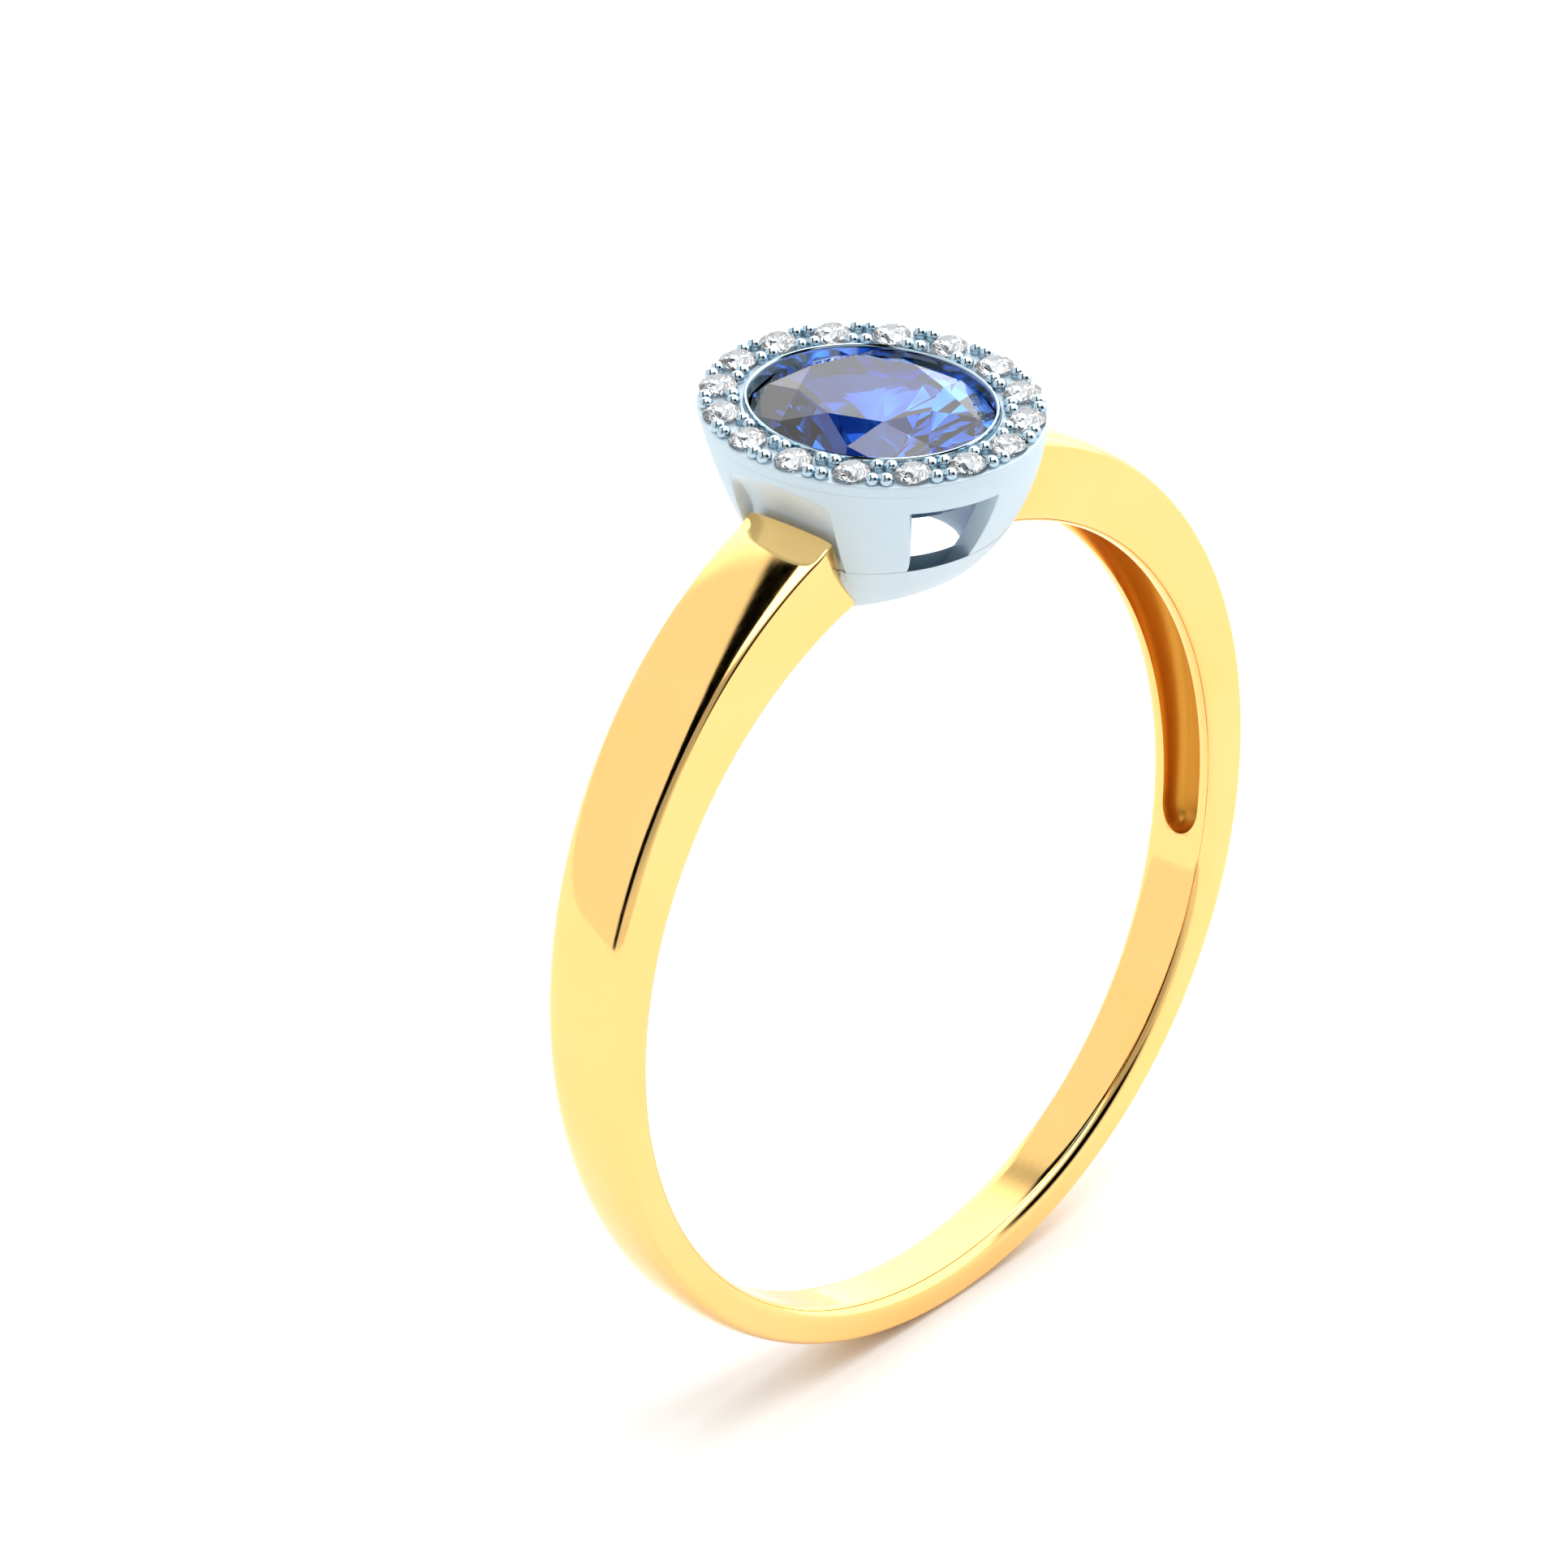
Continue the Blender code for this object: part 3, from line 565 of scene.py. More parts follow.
def build_grains():
    """Put a rounded bead on every point, each a few per cent larger or smaller."""
    tree, start, end = new_geometry_tree("raise_grains", (
        ("Radius", "NodeSocketFloat"), ("Spread", "NodeSocketFloat"), ("Seed", "NodeSocketInt"),
        ("Metal", "NodeSocketMaterial")))
    ball = add_node(tree, "GeometryNodeMeshUVSphere", {
        "Segments": 20, "Rings": 14, "Radius": start.outputs["Radius"]})
    smooth = add_node(tree, "GeometryNodeSetShadeSmooth", {"Geometry": ball.outputs["Mesh"]})
    least = add_node(tree, "ShaderNodeMath", {0: 1.0, 1: start.outputs["Spread"]}, operation="SUBTRACT")
    most = add_node(tree, "ShaderNodeMath", {0: 1.0, 1: start.outputs["Spread"]}, operation="ADD")
    size = add_node(tree, "FunctionNodeRandomValue", data_type="FLOAT")
    tree.links.new(least.outputs[0], size.inputs[2])
    tree.links.new(most.outputs[0], size.inputs[3])
    tree.links.new(start.outputs["Seed"], size.inputs["Seed"])
    beads = add_node(tree, "GeometryNodeInstanceOnPoints", {
        "Points": start.outputs["Geometry"], "Instance": smooth.outputs["Geometry"],
        "Scale": size.outputs[1]})
    real = add_node(tree, "GeometryNodeRealizeInstances", {"Geometry": beads.outputs["Instances"]})
    done = add_node(tree, "GeometryNodeSetMaterial", {
        "Geometry": real.outputs["Geometry"], "Material": start.outputs["Metal"]})
    tree.links.new(done.outputs["Geometry"], end.inputs["Geometry"])
    return grow("setting_grains", grain_places(), tree, {
        "Radius": GRAIN_RADIUS, "Spread": GRAIN_SPREAD, "Seed": 4, "Metal": bright_rhodium})


bright_rhodium = rhodium_plate(
    "bright_rhodium", low="#A6BFCE", high="#BFD2DD", roughness=0.08, grain=0.08)
setting_grains = build_grains()
fit(setting_grains, bright_rhodium, "white_gold")


# ==== Collet ==============================================================
# The oval bezel that holds the sapphire: a tapering tube soldered into the plate, with a ledge under
# the girdle and a thin rim, rounded over and burnished bright, that stands a little above the stone's
# edge.

COLLET_TAPER = 0.40 * MM
RIM_STAND = 0.03 * MM             # upright side of the rim above the plate, before it rounds over
RIM_STEPS = 8
GIRDLE_BELOW_RIM = 0.40 * MM
LEDGE_CLEARANCE = 0.30 * MM       # from the stone's slope to the tube's lower edge
BEZEL_POINTS = 200

stone_low, stone_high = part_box("sapphire")
stone_half = (stone_high[0], stone_high[1])
girdle_z = collet_high[2] - GIRDLE_BELOW_RIM
pavilion_depth = girdle_z - stone_low[2]


def build_collet():
    """Turn the bezel's section: outside up, over the rim, down past the girdle to the ledge."""
    points = BEZEL_POINTS
    outer_x, outer_y, rim_z = collet_high
    low_z = collet_low[2]
    slope = stone_half[0] / pavilion_depth
    reach = slope * (girdle_z - low_z) - LEDGE_CLEARANCE
    rings = [
        oval_ring(stone_half[0] - reach, stone_half[1] - reach, low_z, points),
        oval_ring(outer_x - COLLET_TAPER, outer_y - COLLET_TAPER, low_z, points),
        oval_ring(outer_x, outer_y, halo_low[2], points),
    ]
    bend_z = halo_top + RIM_STAND
    wall = outer_x - stone_half[0] - SEAT_GAP
    for i in range(RIM_STEPS + 1):
        turn = pi * i / RIM_STEPS
        out = wall * (1 - cos(turn)) / 2
        rise = sin(turn) * (rim_z - bend_z)
        rings.append(oval_ring(outer_x - out, outer_y - out, bend_z + rise, points))
    seat = (stone_half[0] + SEAT_GAP, stone_half[1] + SEAT_GAP)
    rings.append(oval_ring(*seat, girdle_z - SEAT_GAP, points))
    bm = bmesh.new()
    skin_rings(bm, rings)
    return mesh_object("sapphire_bezel", bm, 30)


sapphire_bezel = build_collet()
fit(sapphire_bezel, bright_rhodium, "white_gold", "stone_collet")


# ==== Sapphire ============================================================
# The centre stone, a natural royal blue sapphire cut as an oval brilliant: a table, a crown of stars,
# kites and upper girdle facets, and a deep pavilion. Every facet is flat and polished, and the
# colour lies in faint bands through the crystal.

TABLE_SHARE = 0.60
STAR_LENGTH = 0.50                # how far the stars reach from the table to the girdle
LOWER_LENGTH = 0.72               # how far the lower girdle facets reach to the point
STONE_GIRDLE = 0.10 * MM
GIRDLE_STEPS = 4                  # corners along each girdle facet, which keep the outline round


def cut_brilliant(bm, crown, girdle, pavilion, table, lower):
    """Facets of a round brilliant of radius 1 with its girdle's underside at height 0.

    Heights above and below the girdle, the table's share of the width, and the lower facets' length.
    The girdle's edge waves up and down a little, because every facet that meets it is flat.
    """
    half_step = pi / 8

    def corner(step, radius, z):
        return Vector((radius * cos(step * half_step), radius * sin(step * half_step), z))

    star_radius = (table + (1 - table) * STAR_LENGTH) / cos(half_step)
    low_radius = (1 - lower) / cos(half_step)
    tables = [bm.verts.new(corner(2 * k, table, girdle + crown)) for k in range(8)]
    star_z = girdle + crown * (1 - STAR_LENGTH)
    stars = [bm.verts.new(corner(2 * k + 1, star_radius, star_z)) for k in range(8)]
    lows = [bm.verts.new(corner(2 * k + 1, low_radius, -pavilion * lower)) for k in range(8)]
    culet = bm.verts.new((0.0, 0.0, -pavilion))
    edges = []
    for inner, z in ((stars, girdle), (lows, 0.0)):
        edge = []
        for step in range(16):
            tip = inner[(step // 2) % 8].co
            first = corner(step, 1.0, z)
            last = corner(step + 1, 1.0, z)
            normal = (first - tip).cross(last - tip)
            for i in range(GIRDLE_STEPS):
                spot = corner(step + i / GIRDLE_STEPS, 1.0, z)
                if i:
                    spot.z = tip.z - ((spot.x - tip.x) * normal.x + (spot.y - tip.y) * normal.y) / normal.z
                edge.append(bm.verts.new(spot))
        edges.append(edge)
    upper, under = edges
    count = len(upper)
    bm.faces.new(tables)
    for k in range(8):
        bm.faces.new((tables[k], tables[(k + 1) % 8], stars[k]))
        main = 2 * k * GIRDLE_STEPS
        bm.faces.new((tables[k], stars[k], upper[main], stars[k - 1]))
        bm.faces.new((culet, lows[k - 1], under[main], lows[k]))
    for step in range(16):
        run = [(step * GIRDLE_STEPS + i) % count for i in range(GIRDLE_STEPS + 1)]
        bm.faces.new([stars[step // 2]] + [upper[i] for i in run])
        bm.faces.new([lows[step // 2]] + [under[i] for i in run])
    for i in range(count):
        j = (i + 1) % count
        bm.faces.new((upper[i], upper[j], under[j], under[i]))


def build_sapphire():
    """Cut a brilliant of radius 1, then stretch it to the stone's oval."""
    bm = bmesh.new()
    width = stone_half[0]
    crown = (stone_high[2] - girdle_z - STONE_GIRDLE) / width
    cut_brilliant(bm, crown, STONE_GIRDLE / width, pavilion_depth / width, TABLE_SHARE, LOWER_LENGTH)
    stretch = Matrix.Diagonal((stone_half[0], stone_half[1], width, 1.0))
    bmesh.ops.transform(bm, verts=bm.verts, matrix=stretch)
    bmesh.ops.translate(bm, verts=bm.verts, vec=(0.0, 0.0, girdle_z))
    return mesh_object("oval_sapphire", bm)


def sapphire_crystal():
    """Clear corundum, index 1.77, coloured by iron and titanium in soft bands about 1 mm apart.

    The eye sees into the stone more than it sees the sky on its table, so the gloss is turned down.
    """
    mat, tree, output, place = new_material("royal_blue_sapphire")
    turned = add_node(tree, "ShaderNodeMapping", {"Vector": place, "Rotation": (0.5, 0.3, 0.9)})
    bands = add_node(tree, "ShaderNodeTexWave", {
        "Vector": turned.outputs["Vector"], "Scale": 260.0, "Distortion": 3.0, "Detail": 2.0})
    tint = add_node(tree, "ShaderNodeMix", {"Factor": bands.outputs["Fac"]}, data_type="RGBA")
    tint.inputs[6].default_value = linear("#2452C6")
    tint.inputs[7].default_value = linear("#387AE6")
    shader = add_node(tree, "ShaderNodeBsdfPrincipled", {
        "Base Color": tint.outputs[2], "Roughness": 0.0, "IOR": 1.77, "Transmission Weight": 1.0,
        "Specular IOR Level": 0.2})
    tree.links.new(shader.outputs["BSDF"], output.inputs["Surface"])
    return mat


oval_sapphire = build_sapphire()
fit(oval_sapphire, sapphire_crystal(), "sapphire", "sapphire")


# ==== Diamonds ============================================================
# Sixteen round brilliants of 0.78 mm, full cut, one in each seat of the halo. The setter drops each
# in as it comes, so their facets are turned every way.

# over the radius: crown, girdle and pavilion; then the table's and the lower facets' shares
DIAMOND_CUT = {"crown": 0.32, "girdle": 0.04, "pavilion": 0.84, "table": 0.56, "lower": 0.77}


def build_diamonds():
    """Cut one brilliant of radius 1 and put it, turned at random, on every seat."""
    bm = bmesh.new()
    cut_brilliant(bm, **DIAMOND_CUT)
    pattern = mesh_object("one_brilliant", bm)
    tree, start, end = new_geometry_tree("set_diamonds", (
        ("Radius", "NodeSocketFloat"), ("Seed", "NodeSocketInt"), ("Stone", "NodeSocketObject"),
        ("Crystal", "NodeSocketMaterial")))
    stone = add_node(tree, "GeometryNodeObjectInfo", {"Object": start.outputs["Stone"]})
    turn = add_node(tree, "FunctionNodeRandomValue", data_type="FLOAT")
    turn.inputs[3].default_value = pi / 4
    tree.links.new(start.outputs["Seed"], turn.inputs["Seed"])
    angles = add_node(tree, "ShaderNodeCombineXYZ", {"Z": turn.outputs[1]})
    stones = add_node(tree, "GeometryNodeInstanceOnPoints", {
        "Points": start.outputs["Geometry"], "Instance": stone.outputs["Geometry"],
        "Rotation": angles.outputs["Vector"], "Scale": start.outputs["Radius"]})
    real = add_node(tree, "GeometryNodeRealizeInstances", {"Geometry": stones.outputs["Instances"]})
    done = add_node(tree, "GeometryNodeSetMaterial", {
        "Geometry": real.outputs["Geometry"], "Material": start.outputs["Crystal"]})
    tree.links.new(done.outputs["Geometry"], end.inputs["Geometry"])
    seats = [(x, y, halo_top + DIAMOND_PROUD) for x, y in diamond_places]
    obj = grow("halo_diamonds", seats, tree, {
        "Radius": diamond_radius, "Seed": 11, "Stone": pattern, "Crystal": clear_diamond})
    bpy.data.objects.remove(pattern, do_unlink=True)
    return obj


def diamond_crystal():
    """Colourless diamond, index 2.42, with the least trace of grey that differs from place to place."""
    mat, tree, output, place = new_material("clear_diamond")
    cloud = add_node(tree, "ShaderNodeTexNoise", {"Vector": place, "Scale": 1400.0, "Detail": 1.0})
    tint = add_node(tree, "ShaderNodeMix", {"Factor": cloud.outputs["Fac"]}, data_type="RGBA")
    tint.inputs[6].default_value = linear("#FAFBFF")
    tint.inputs[7].default_value = linear("#FFFFFF")
    shader = add_node(tree, "ShaderNodeBsdfPrincipled", {
        "Base Color": tint.outputs[2], "Roughness": 0.0, "IOR": 2.42, "Transmission Weight": 1.0})
    tree.links.new(shader.outputs["BSDF"], output.inputs["Surface"])
    return mat


clear_diamond = diamond_crystal()
halo_diamonds = build_diamonds()
fit(halo_diamonds, clear_diamond, "diamond", *diamond_names)


# ==== Shank ===============================================================
# The band, cast in 14 karat yellow gold and polished to a mirror. It widens and thickens from the
# bottom to the shoulders, each shoulder is hollowed from inside to save weight, and its ends are
# filed to the bowl's side, where they are soldered.

SHANK_HEIGHT = (0.85 * MM, 1.90 * MM)   # above the finger: at the bottom and at the head
SHANK_HEIGHT_POWER = 2.1
SHANK_WIDTH = (1.38 * MM, 2.25 * MM)
SHANK_DOME = 0.20 * MM            # height of the domed outside above the flat sides
SHANK_DOME_SWELL = 0.08 * MM      # extra dome halfway up
SHANK_DOME_POWER = 2.25           # superellipse power of the dome
SHANK_INNER_ROUND = 0.26 * MM     # rounding of the edges next to the finger
SHANK_EDGE = 0.03 * MM            # rounding of the hollow's rim and the ends
ROUND_STEPS = 6
DOME_STEPS = 28
HOLLOW_WALL = 0.39 * MM           # metal beside the hollow
HOLLOW_ROOF = 0.50 * MM           # and above it
HOLLOW_START = 75.0               # degrees from the lowest point of the band
HOLLOW_END = 156.0
HOLLOW_FADE = 8.0                 # degrees over which it runs out below the head
HOLLOW_ROUND = 4.0                # degrees that its rounded lower end takes
HOLLOW_LEAD = 0.5                 # its strands draw together over this share of that, before it starts
HOLLOW_SINK = 0.6                 # and it is at full depth after this share
HOLLOW_TIP = 0.12                 # width at its very tip, over its full width
HOLLOW_CURVE = 0.7                # below 1, its section is squarer than an ellipse
HOLLOW_STEPS = 8
HOLLOW_STRANDS = range(8, 25)     # the strands of the section that run along the hollow
HOLLOW_MARK = 0.03 * MM           # deeper than this counts as inside it
SOLDER_GAP = 0.01 * MM            # between the band's ends and the head
FLARE_START = 162.4               # the top flattens and sweeps up to the head from here, in degrees
FLARE_END = 166.0
FLARE_DOME = 0.08 * MM            # what is left of the dome at the head
FLARE_DIP = 0.03 * MM             # and how far the top sinks on the way
LOW_STEP = 1.5                    # degrees between the rings at the bottom
LOW_RINGS = 49
TIP_RINGS = 14                    # rings round the hollow's lower end
HIGH_START = 80.5                 # the first ring beside the whole hollow, in degrees
HIGH_STEP = 1.45
HIGH_RINGS = 46
END_RINGS = 24                    # rings between the last whole one and the head
END_NEAREST = 146                 # the band's strands end between these two, in degrees
END_FARTHEST = 178


def shank_section(angle):
    """The band's section at an angle from its lowest point, as (radius, y) round the outline."""
    share = (1 - cos(angle)) / 2
    height = SHANK_HEIGHT[0] + (SHANK_HEIGHT[1] - SHANK_HEIGHT[0]) * share ** SHANK_HEIGHT_POWER
    half = (SHANK_WIDTH[0] + (SHANK_WIDTH[1] - SHANK_WIDTH[0]) * share) / 2
    dome = SHANK_DOME + SHANK_DOME_SWELL * 4 * share * (1 - share)
    flare = min(max((degrees(abs(angle)) - FLARE_START) / (FLARE_END - FLARE_START), 0.0), 1.0)
    dome += (FLARE_DOME - dome) * flare ** 2
    swept = -FLARE_DIP * sin(pi * flare)
    shoulder = finger_radius + height - dome
    corner = SHANK_INNER_ROUND

    # the hollow: full width and depth along the shoulder, round at its lower end
    place = degrees(abs(angle))
    past = (place - HOLLOW_START) / HOLLOW_ROUND
    before = (HOLLOW_END - place) / HOLLOW_FADE
    full = half - HOLLOW_WALL
    if past <= 0:
        hollow = full + (HOLLOW_TIP * full - full) * smooth_step(1 + past / HOLLOW_LEAD)
        depth = 0.0
    else:
        hollow = full * max(sqrt(1 - (1 - min(past, 1.0)) ** 2), HOLLOW_TIP)
        sunk = sqrt(1 - (1 - min(past / HOLLOW_SINK, 1.0)) ** 2)
        depth = (height - HOLLOW_ROOF) * sunk * smooth_step(before)

    outline = []
    for i in range(ROUND_STEPS + 1):
        turn = pi / 2 * i / ROUND_STEPS
        outline.append((finger_radius + corner * (1 - sin(turn)), half - corner * (1 - cos(turn))))
    outline.append((finger_radius, (half - corner + hollow) / 2))
    for i in range(HOLLOW_STEPS + 1):
        turn = pi / 2 * (1 - i / HOLLOW_STEPS)
        outline.append((
            finger_radius + depth * cos(turn) ** HOLLOW_CURVE, hollow * sin(turn) ** HOLLOW_CURVE))
    outline += [(radius, -y) for radius, y in reversed(outline[:-1])]
    low = finger_radius + corner
    outline.append(((low * 2 + shoulder) / 3, -half))
    outline.append(((low + shoulder * 2) / 3, -half))
    for i in range(DOME_STEPS + 1):
        turn = pi / 2 * sin(pi * (i / DOME_STEPS - 0.5))
        side = 1 if turn > 0 else -1
        rise = (dome + swept) * max(cos(turn), 0.0) ** (2 / SHANK_DOME_POWER)
        outline.append((shoulder + rise, side * half * abs(sin(turn)) ** (2 / SHANK_DOME_POWER)))
    outline.append(((low + shoulder * 2) / 3, half))
    outline.append(((low * 2 + shoulder) / 3, half))
    return outline


def shank_point(angle, strand):
    """A point of one long strand of the band's skin."""
    radius, y = shank_section(angle)[strand]
    return Vector((radius * sin(angle), y, max(finger_z - radius * cos(angle), 0.0)))


def outside_head(point):
    """Whether a point is clear of the bowl, or of the flat where that has been milled back."""
    half_x, half_y = bowl_halves(point.z, -SOLDER_GAP)
    in_bowl = (point.x / half_x) ** 2 + (point.y / half_y) ** 2 < 1
    return not in_bowl or abs(point.x) > face_x + SOLDER_GAP


def strand_end(strand):
    """The angle at which a strand meets the head."""
    near = radians(END_NEAREST)
    far = radians(END_FARTHEST)
    for _ in range(26):
        middle = (near + far) / 2
        if outside_head(shank_point(middle, strand)):
            near = middle
        else:
            far = middle
    return near


def shank_angles():
    """Degrees from the lowest point: even, and close together at the round end of the hollow."""
    marks = [i * LOW_STEP for i in range(LOW_RINGS)]
    marks += [HOLLOW_START - 1.0, HOLLOW_START - 0.5]
    for i in range(TIP_RINGS + 1):
        marks.append(HOLLOW_START + HOLLOW_ROUND * (1 - cos(pi / 2 * i / TIP_RINGS)))
    marks += [HIGH_START + i * HIGH_STEP for i in range(HIGH_RINGS)]
    return sorted(set(marks))


def build_shank():
    """Skin the strands from one end, round the bottom, to the other end."""
    strands = len(shank_section(0.0))
    ends = [strand_end(k) for k in range(strands)]
    fixed = [radians(mark) for mark in shank_angles()]
    last = fixed[-1]
    half_rings = [[angle] * strands for angle in fixed]
    half_rings += [[last + (end - last) * i / END_RINGS for end in ends] for i in range(1, END_RINGS + 1)]
    rings = []
    for side, chosen in ((-1, reversed(half_rings[1:])), (1, half_rings)):
        for ring in chosen:
            rings.append([shank_point(side * angle, k) for k, angle in enumerate(ring)])
    bm = bmesh.new()
    skin_rings(bm, rings, closed=False)
    shank = mesh_object("gold_shank", bm)
    # marks the inside of the hollows: rough as cast, and darkened there by painted shade
    rough_and_shaded = shank.data.attributes.new("as_cast", "FLOAT", "POINT")
    for i, vertex in enumerate(shank.data.vertices):
        radius = sqrt(vertex.co.x ** 2 + (vertex.co.z - finger_z) ** 2)
        inside = i % strands in HOLLOW_STRANDS and radius > finger_radius + HOLLOW_MARK
        rough_and_shaded.data[i].value = 1.0 if inside else 0.0
    round_edges(shank, SHANK_EDGE, angle=45, segments=2)
    settle(shank, smooth_angle=45)
    return shank


def polished_gold():
    """14 karat yellow gold off the buff: a mirror with faint swirls and a warm colour.

    The buff's hairlines run along the band, drawn about 0.06 mm apart so that they show.
    """
    mat, tree, output, place = new_material("polished_yellow_gold")
    cloud = add_node(tree, "ShaderNodeTexNoise", {"Vector": place, "Scale": 400.0, "Detail": 3.0})
    tint = add_node(tree, "ShaderNodeMix", {"Factor": cloud.outputs["Fac"]}, data_type="RGBA")
    tint.inputs[6].default_value = linear("#FCCB78")
    tint.inputs[7].default_value = linear("#FED48C")
    stretched = add_node(tree, "ShaderNodeMapping", {"Vector": place, "Scale": (1.0, 6.0, 1.0)})
    swirls = add_node(tree, "ShaderNodeTexNoise", {
        "Vector": stretched.outputs["Vector"], "Scale": 3000.0, "Detail": 4.0, "Distortion": 0.6})
    gloss = add_node(tree, "ShaderNodeMapRange", {
        "Value": swirls.outputs["Fac"], "From Min": 0.3, "From Max": 0.7, "To Min": 0.05, "To Max": 0.10})
    bump = add_node(tree, "ShaderNodeBump", {
        "Height": swirls.outputs["Fac"], "Strength": 0.06, "Distance": 0.002 * MM})
    # the buff can't reach into the hollows, which keep the rougher finish of the casting; their deeper,
    # duller colour is painted shade that darkens the recess
    cast_and_shaded = add_node(tree, "ShaderNodeAttribute", attribute_name="as_cast").outputs["Fac"]
    colour = add_node(tree, "ShaderNodeMix", {"Factor": cast_and_shaded}, data_type="RGBA")
    tree.links.new(tint.outputs[2], colour.inputs[6])
    colour.inputs[7].default_value = linear("#D2943A")
    finish = add_node(tree, "ShaderNodeMix", {"Factor": cast_and_shaded}, data_type="FLOAT")
    tree.links.new(gloss.outputs["Result"], finish.inputs[2])
    finish.inputs[3].default_value = 0.38
    shader = add_node(tree, "ShaderNodeBsdfPrincipled", {
        "Base Color": colour.outputs[2], "Metallic": 1.0,
        "Roughness": finish.outputs[0], "Normal": bump.outputs["Normal"]})
    tree.links.new(shader.outputs["BSDF"], output.inputs["Surface"])
    return mat


gold_shank = build_shank()
fit(gold_shank, polished_gold(), "yellow_gold", "shank")


# ==== Studio ==============================================================
# A white sweep under a white tent. A big softbox in a black frame stands at the left, a strong light
# beyond the ring at the right, and a black card at the front right. The frame and the card draw the
# dark lines along the polished edges.

CAMERA_TURN = 45.35               # degrees from +Y towards +X that the camera looks
CAMERA_DIP = 31.27
CAMERA_ROLL = -4.11
CAMERA_DISTANCE = 185.0 * MM
CAMERA_LENS = 209.0               # millimetres on a 36 mm sensor
AIM_LEFT = 2.52 * MM              # the aim is this far to the left of the bore's centre, and above it
AIM_UP = 2.50 * MM


def build_floor():
    """A white disc, 4 m across."""
    bm = bmesh.new()
    bmesh.ops.create_circle(bm, cap_ends=True, segments=96, radius=2.0)
    floor = mesh_object("studio_floor", bm, turned=False)
    mat, tree, output, place = new_material("white_sweep")
    shader = add_node(tree, "ShaderNodeBsdfPrincipled", {
        "Base Color": linear("#F2F2F2"), "Roughness": 0.9, "Specular IOR Level": 0.1})
    tree.links.new(shader.outputs["BSDF"], output.inputs["Surface"])
    floor.data.materials.append(mat)
    return floor


# Each card: the way to it (degrees round from -Y towards +X, and up), its half width and half height
# in degrees, how soft its edges are, and its brightness. Later cards stand in front of earlier ones.
CARDS = (
    ("overhead", 0, 90, 26, 26, 0.3, 3.8),
    ("dim_side", -62, 40, 34, 24, 0.5, 0.50),
    ("black_frame", -146, 34, 58, 46, 0.06, 0.0),
    ("big_softbox", -150, 20, 51, 41, 0.06, 1.10),
    ("back_light", 98, 26, 62, 46, 0.35, 2.3),
    ("black_card", 4, 30, 22, 18, 0.3, 0.0),
)
TENT = 0.92                       # brightness of the tent between the cards
BACKDROP = 1.0                    # and of what the camera sees of it


def card_mask(tree, way, turn, height, half_width, half_height, softness):
    """1 inside a card seen from the ring, 0 outside it, with rounded corners."""
    turn, height = radians(turn), radians(height)
    ahead = Vector((sin(turn) * cos(height), -cos(turn) * cos(height), sin(height)))
    side = Vector((cos(turn), sin(turn), 0.0))
    above = side.cross(ahead) * -1
    depth = add_node(tree, "ShaderNodeVectorMath", {0: way, 1: ahead}, operation="DOT_PRODUCT")
    front = add_node(tree, "ShaderNodeMath", {0: depth.outputs["Value"], 1: 0.05}, operation="MAXIMUM")
    # the fourth powers of both ratios together give a square card with rounded corners
    powers = []
    for axis, half in ((side, half_width), (above, half_height)):
        along = add_node(tree, "ShaderNodeVectorMath", {0: way, 1: axis}, operation="DOT_PRODUCT")
        ratio = add_node(tree, "ShaderNodeMath", {
            0: along.outputs["Value"], 1: front.outputs["Value"]}, operation="DIVIDE")
        part = add_node(tree, "ShaderNodeMath", {
            0: ratio.outputs["Value"], 1: tan(radians(half))}, operation="DIVIDE")
        size = add_node(tree, "ShaderNodeMath", {0: part.outputs["Value"]}, operation="ABSOLUTE")
        power = add_node(tree, "ShaderNodeMath", {0: size.outputs["Value"], 1: 4.0}, operation="POWER")
        powers.append(power.outputs["Value"])
    total = add_node(tree, "ShaderNodeMath", {0: powers[0], 1: powers[1]})
    edge = add_node(tree, "ShaderNodeMath", {0: total.outputs["Value"], 1: 0.25}, operation="POWER")
    mask = add_node(tree, "ShaderNodeMapRange", {
        "Value": edge.outputs["Value"], "From Min": 1 - softness, "From Max": 1 + softness,
        "To Min": 1.0, "To Max": 0.0}, interpolation_type="SMOOTHSTEP")
    return mask.outputs["Result"]


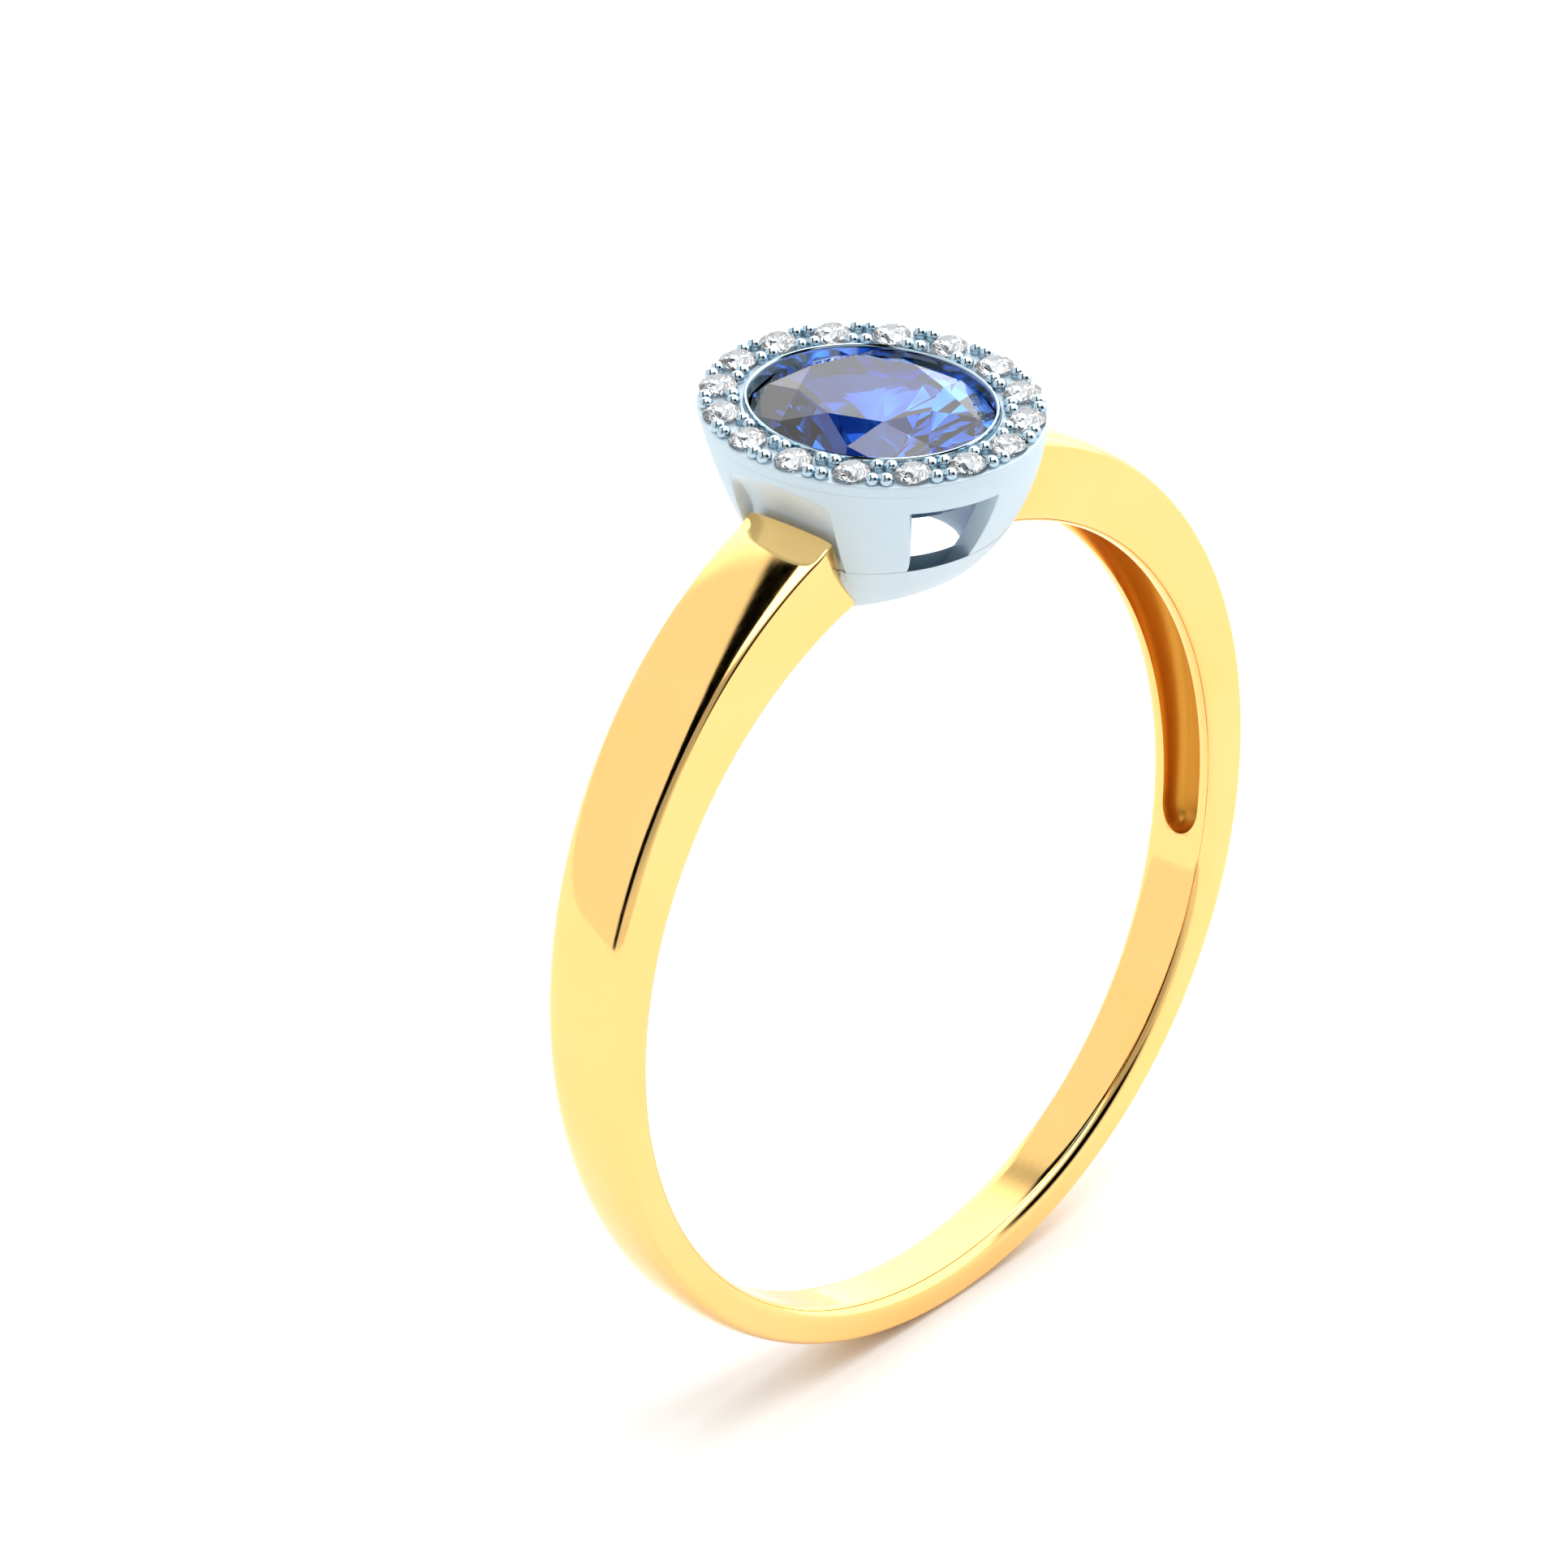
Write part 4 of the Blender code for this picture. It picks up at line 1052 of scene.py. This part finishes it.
def build_world():
    """A white tent with softboxes and black cards round it, drawn by direction."""
    world = bpy.data.worlds.new("studio_tent")
    bpy.context.scene.world = world
    world.use_nodes = True
    tree = world.node_tree
    tree.nodes.clear()
    output = tree.nodes.new("ShaderNodeOutputWorld")
    way = add_node(tree, "ShaderNodeTexCoord").outputs["Generated"]
    glow = add_node(tree, "ShaderNodeValue").outputs[0]
    glow.default_value = TENT
    for name, turn, height, half_width, half_height, softness, brightness in CARDS:
        mask = card_mask(tree, way, turn, height, half_width, half_height, softness)
        step = add_node(tree, "ShaderNodeMix", {"Factor": mask}, data_type="FLOAT", label=name)
        tree.links.new(glow, step.inputs[2])
        step.inputs[3].default_value = brightness
        glow = step.outputs[0]
    seen = add_node(tree, "ShaderNodeLightPath").outputs["Is Camera Ray"]
    shown = add_node(tree, "ShaderNodeMix", {"Factor": seen}, data_type="FLOAT")
    tree.links.new(glow, shown.inputs[2])
    shown.inputs[3].default_value = BACKDROP
    light = add_node(tree, "ShaderNodeBackground", {"Strength": shown.outputs[0]})
    light.inputs["Color"].default_value = (1.0, 1.0, 1.0, 1.0)
    tree.links.new(light.outputs["Background"], output.inputs["Surface"])


def build_camera():
    """A long lens that looks down at the head from the left front."""
    turn, dip, roll = radians(CAMERA_TURN), radians(CAMERA_DIP), radians(CAMERA_ROLL)
    look = Vector((sin(turn) * cos(dip), cos(turn) * cos(dip), -sin(dip)))
    right = Vector((cos(turn), -sin(turn), 0.0))
    up = right.cross(look)
    right, up = right * cos(roll) + up * sin(roll), up * cos(roll) - right * sin(roll)
    centre = Vector((0.0, 0.0, finger_z))
    place = centre - look * CAMERA_DISTANCE
    aim = (centre - right * AIM_LEFT + up * AIM_UP - place).normalized()
    side = aim.cross(up).normalized()
    above = side.cross(aim)
    camera = bpy.data.cameras.new("studio_camera")
    camera.lens = CAMERA_LENS
    camera.sensor_width = 36.0
    camera.clip_start = 0.01
    obj = bpy.data.objects.new("studio_camera", camera)
    obj.matrix_world = Matrix.Translation(place) @ Matrix((side, above, -aim)).transposed().to_4x4()
    bpy.context.scene.collection.objects.link(obj)
    bpy.context.scene.camera = obj


build_floor()
build_world()
build_camera()
bpy.context.scene.view_settings.view_transform = "Standard"
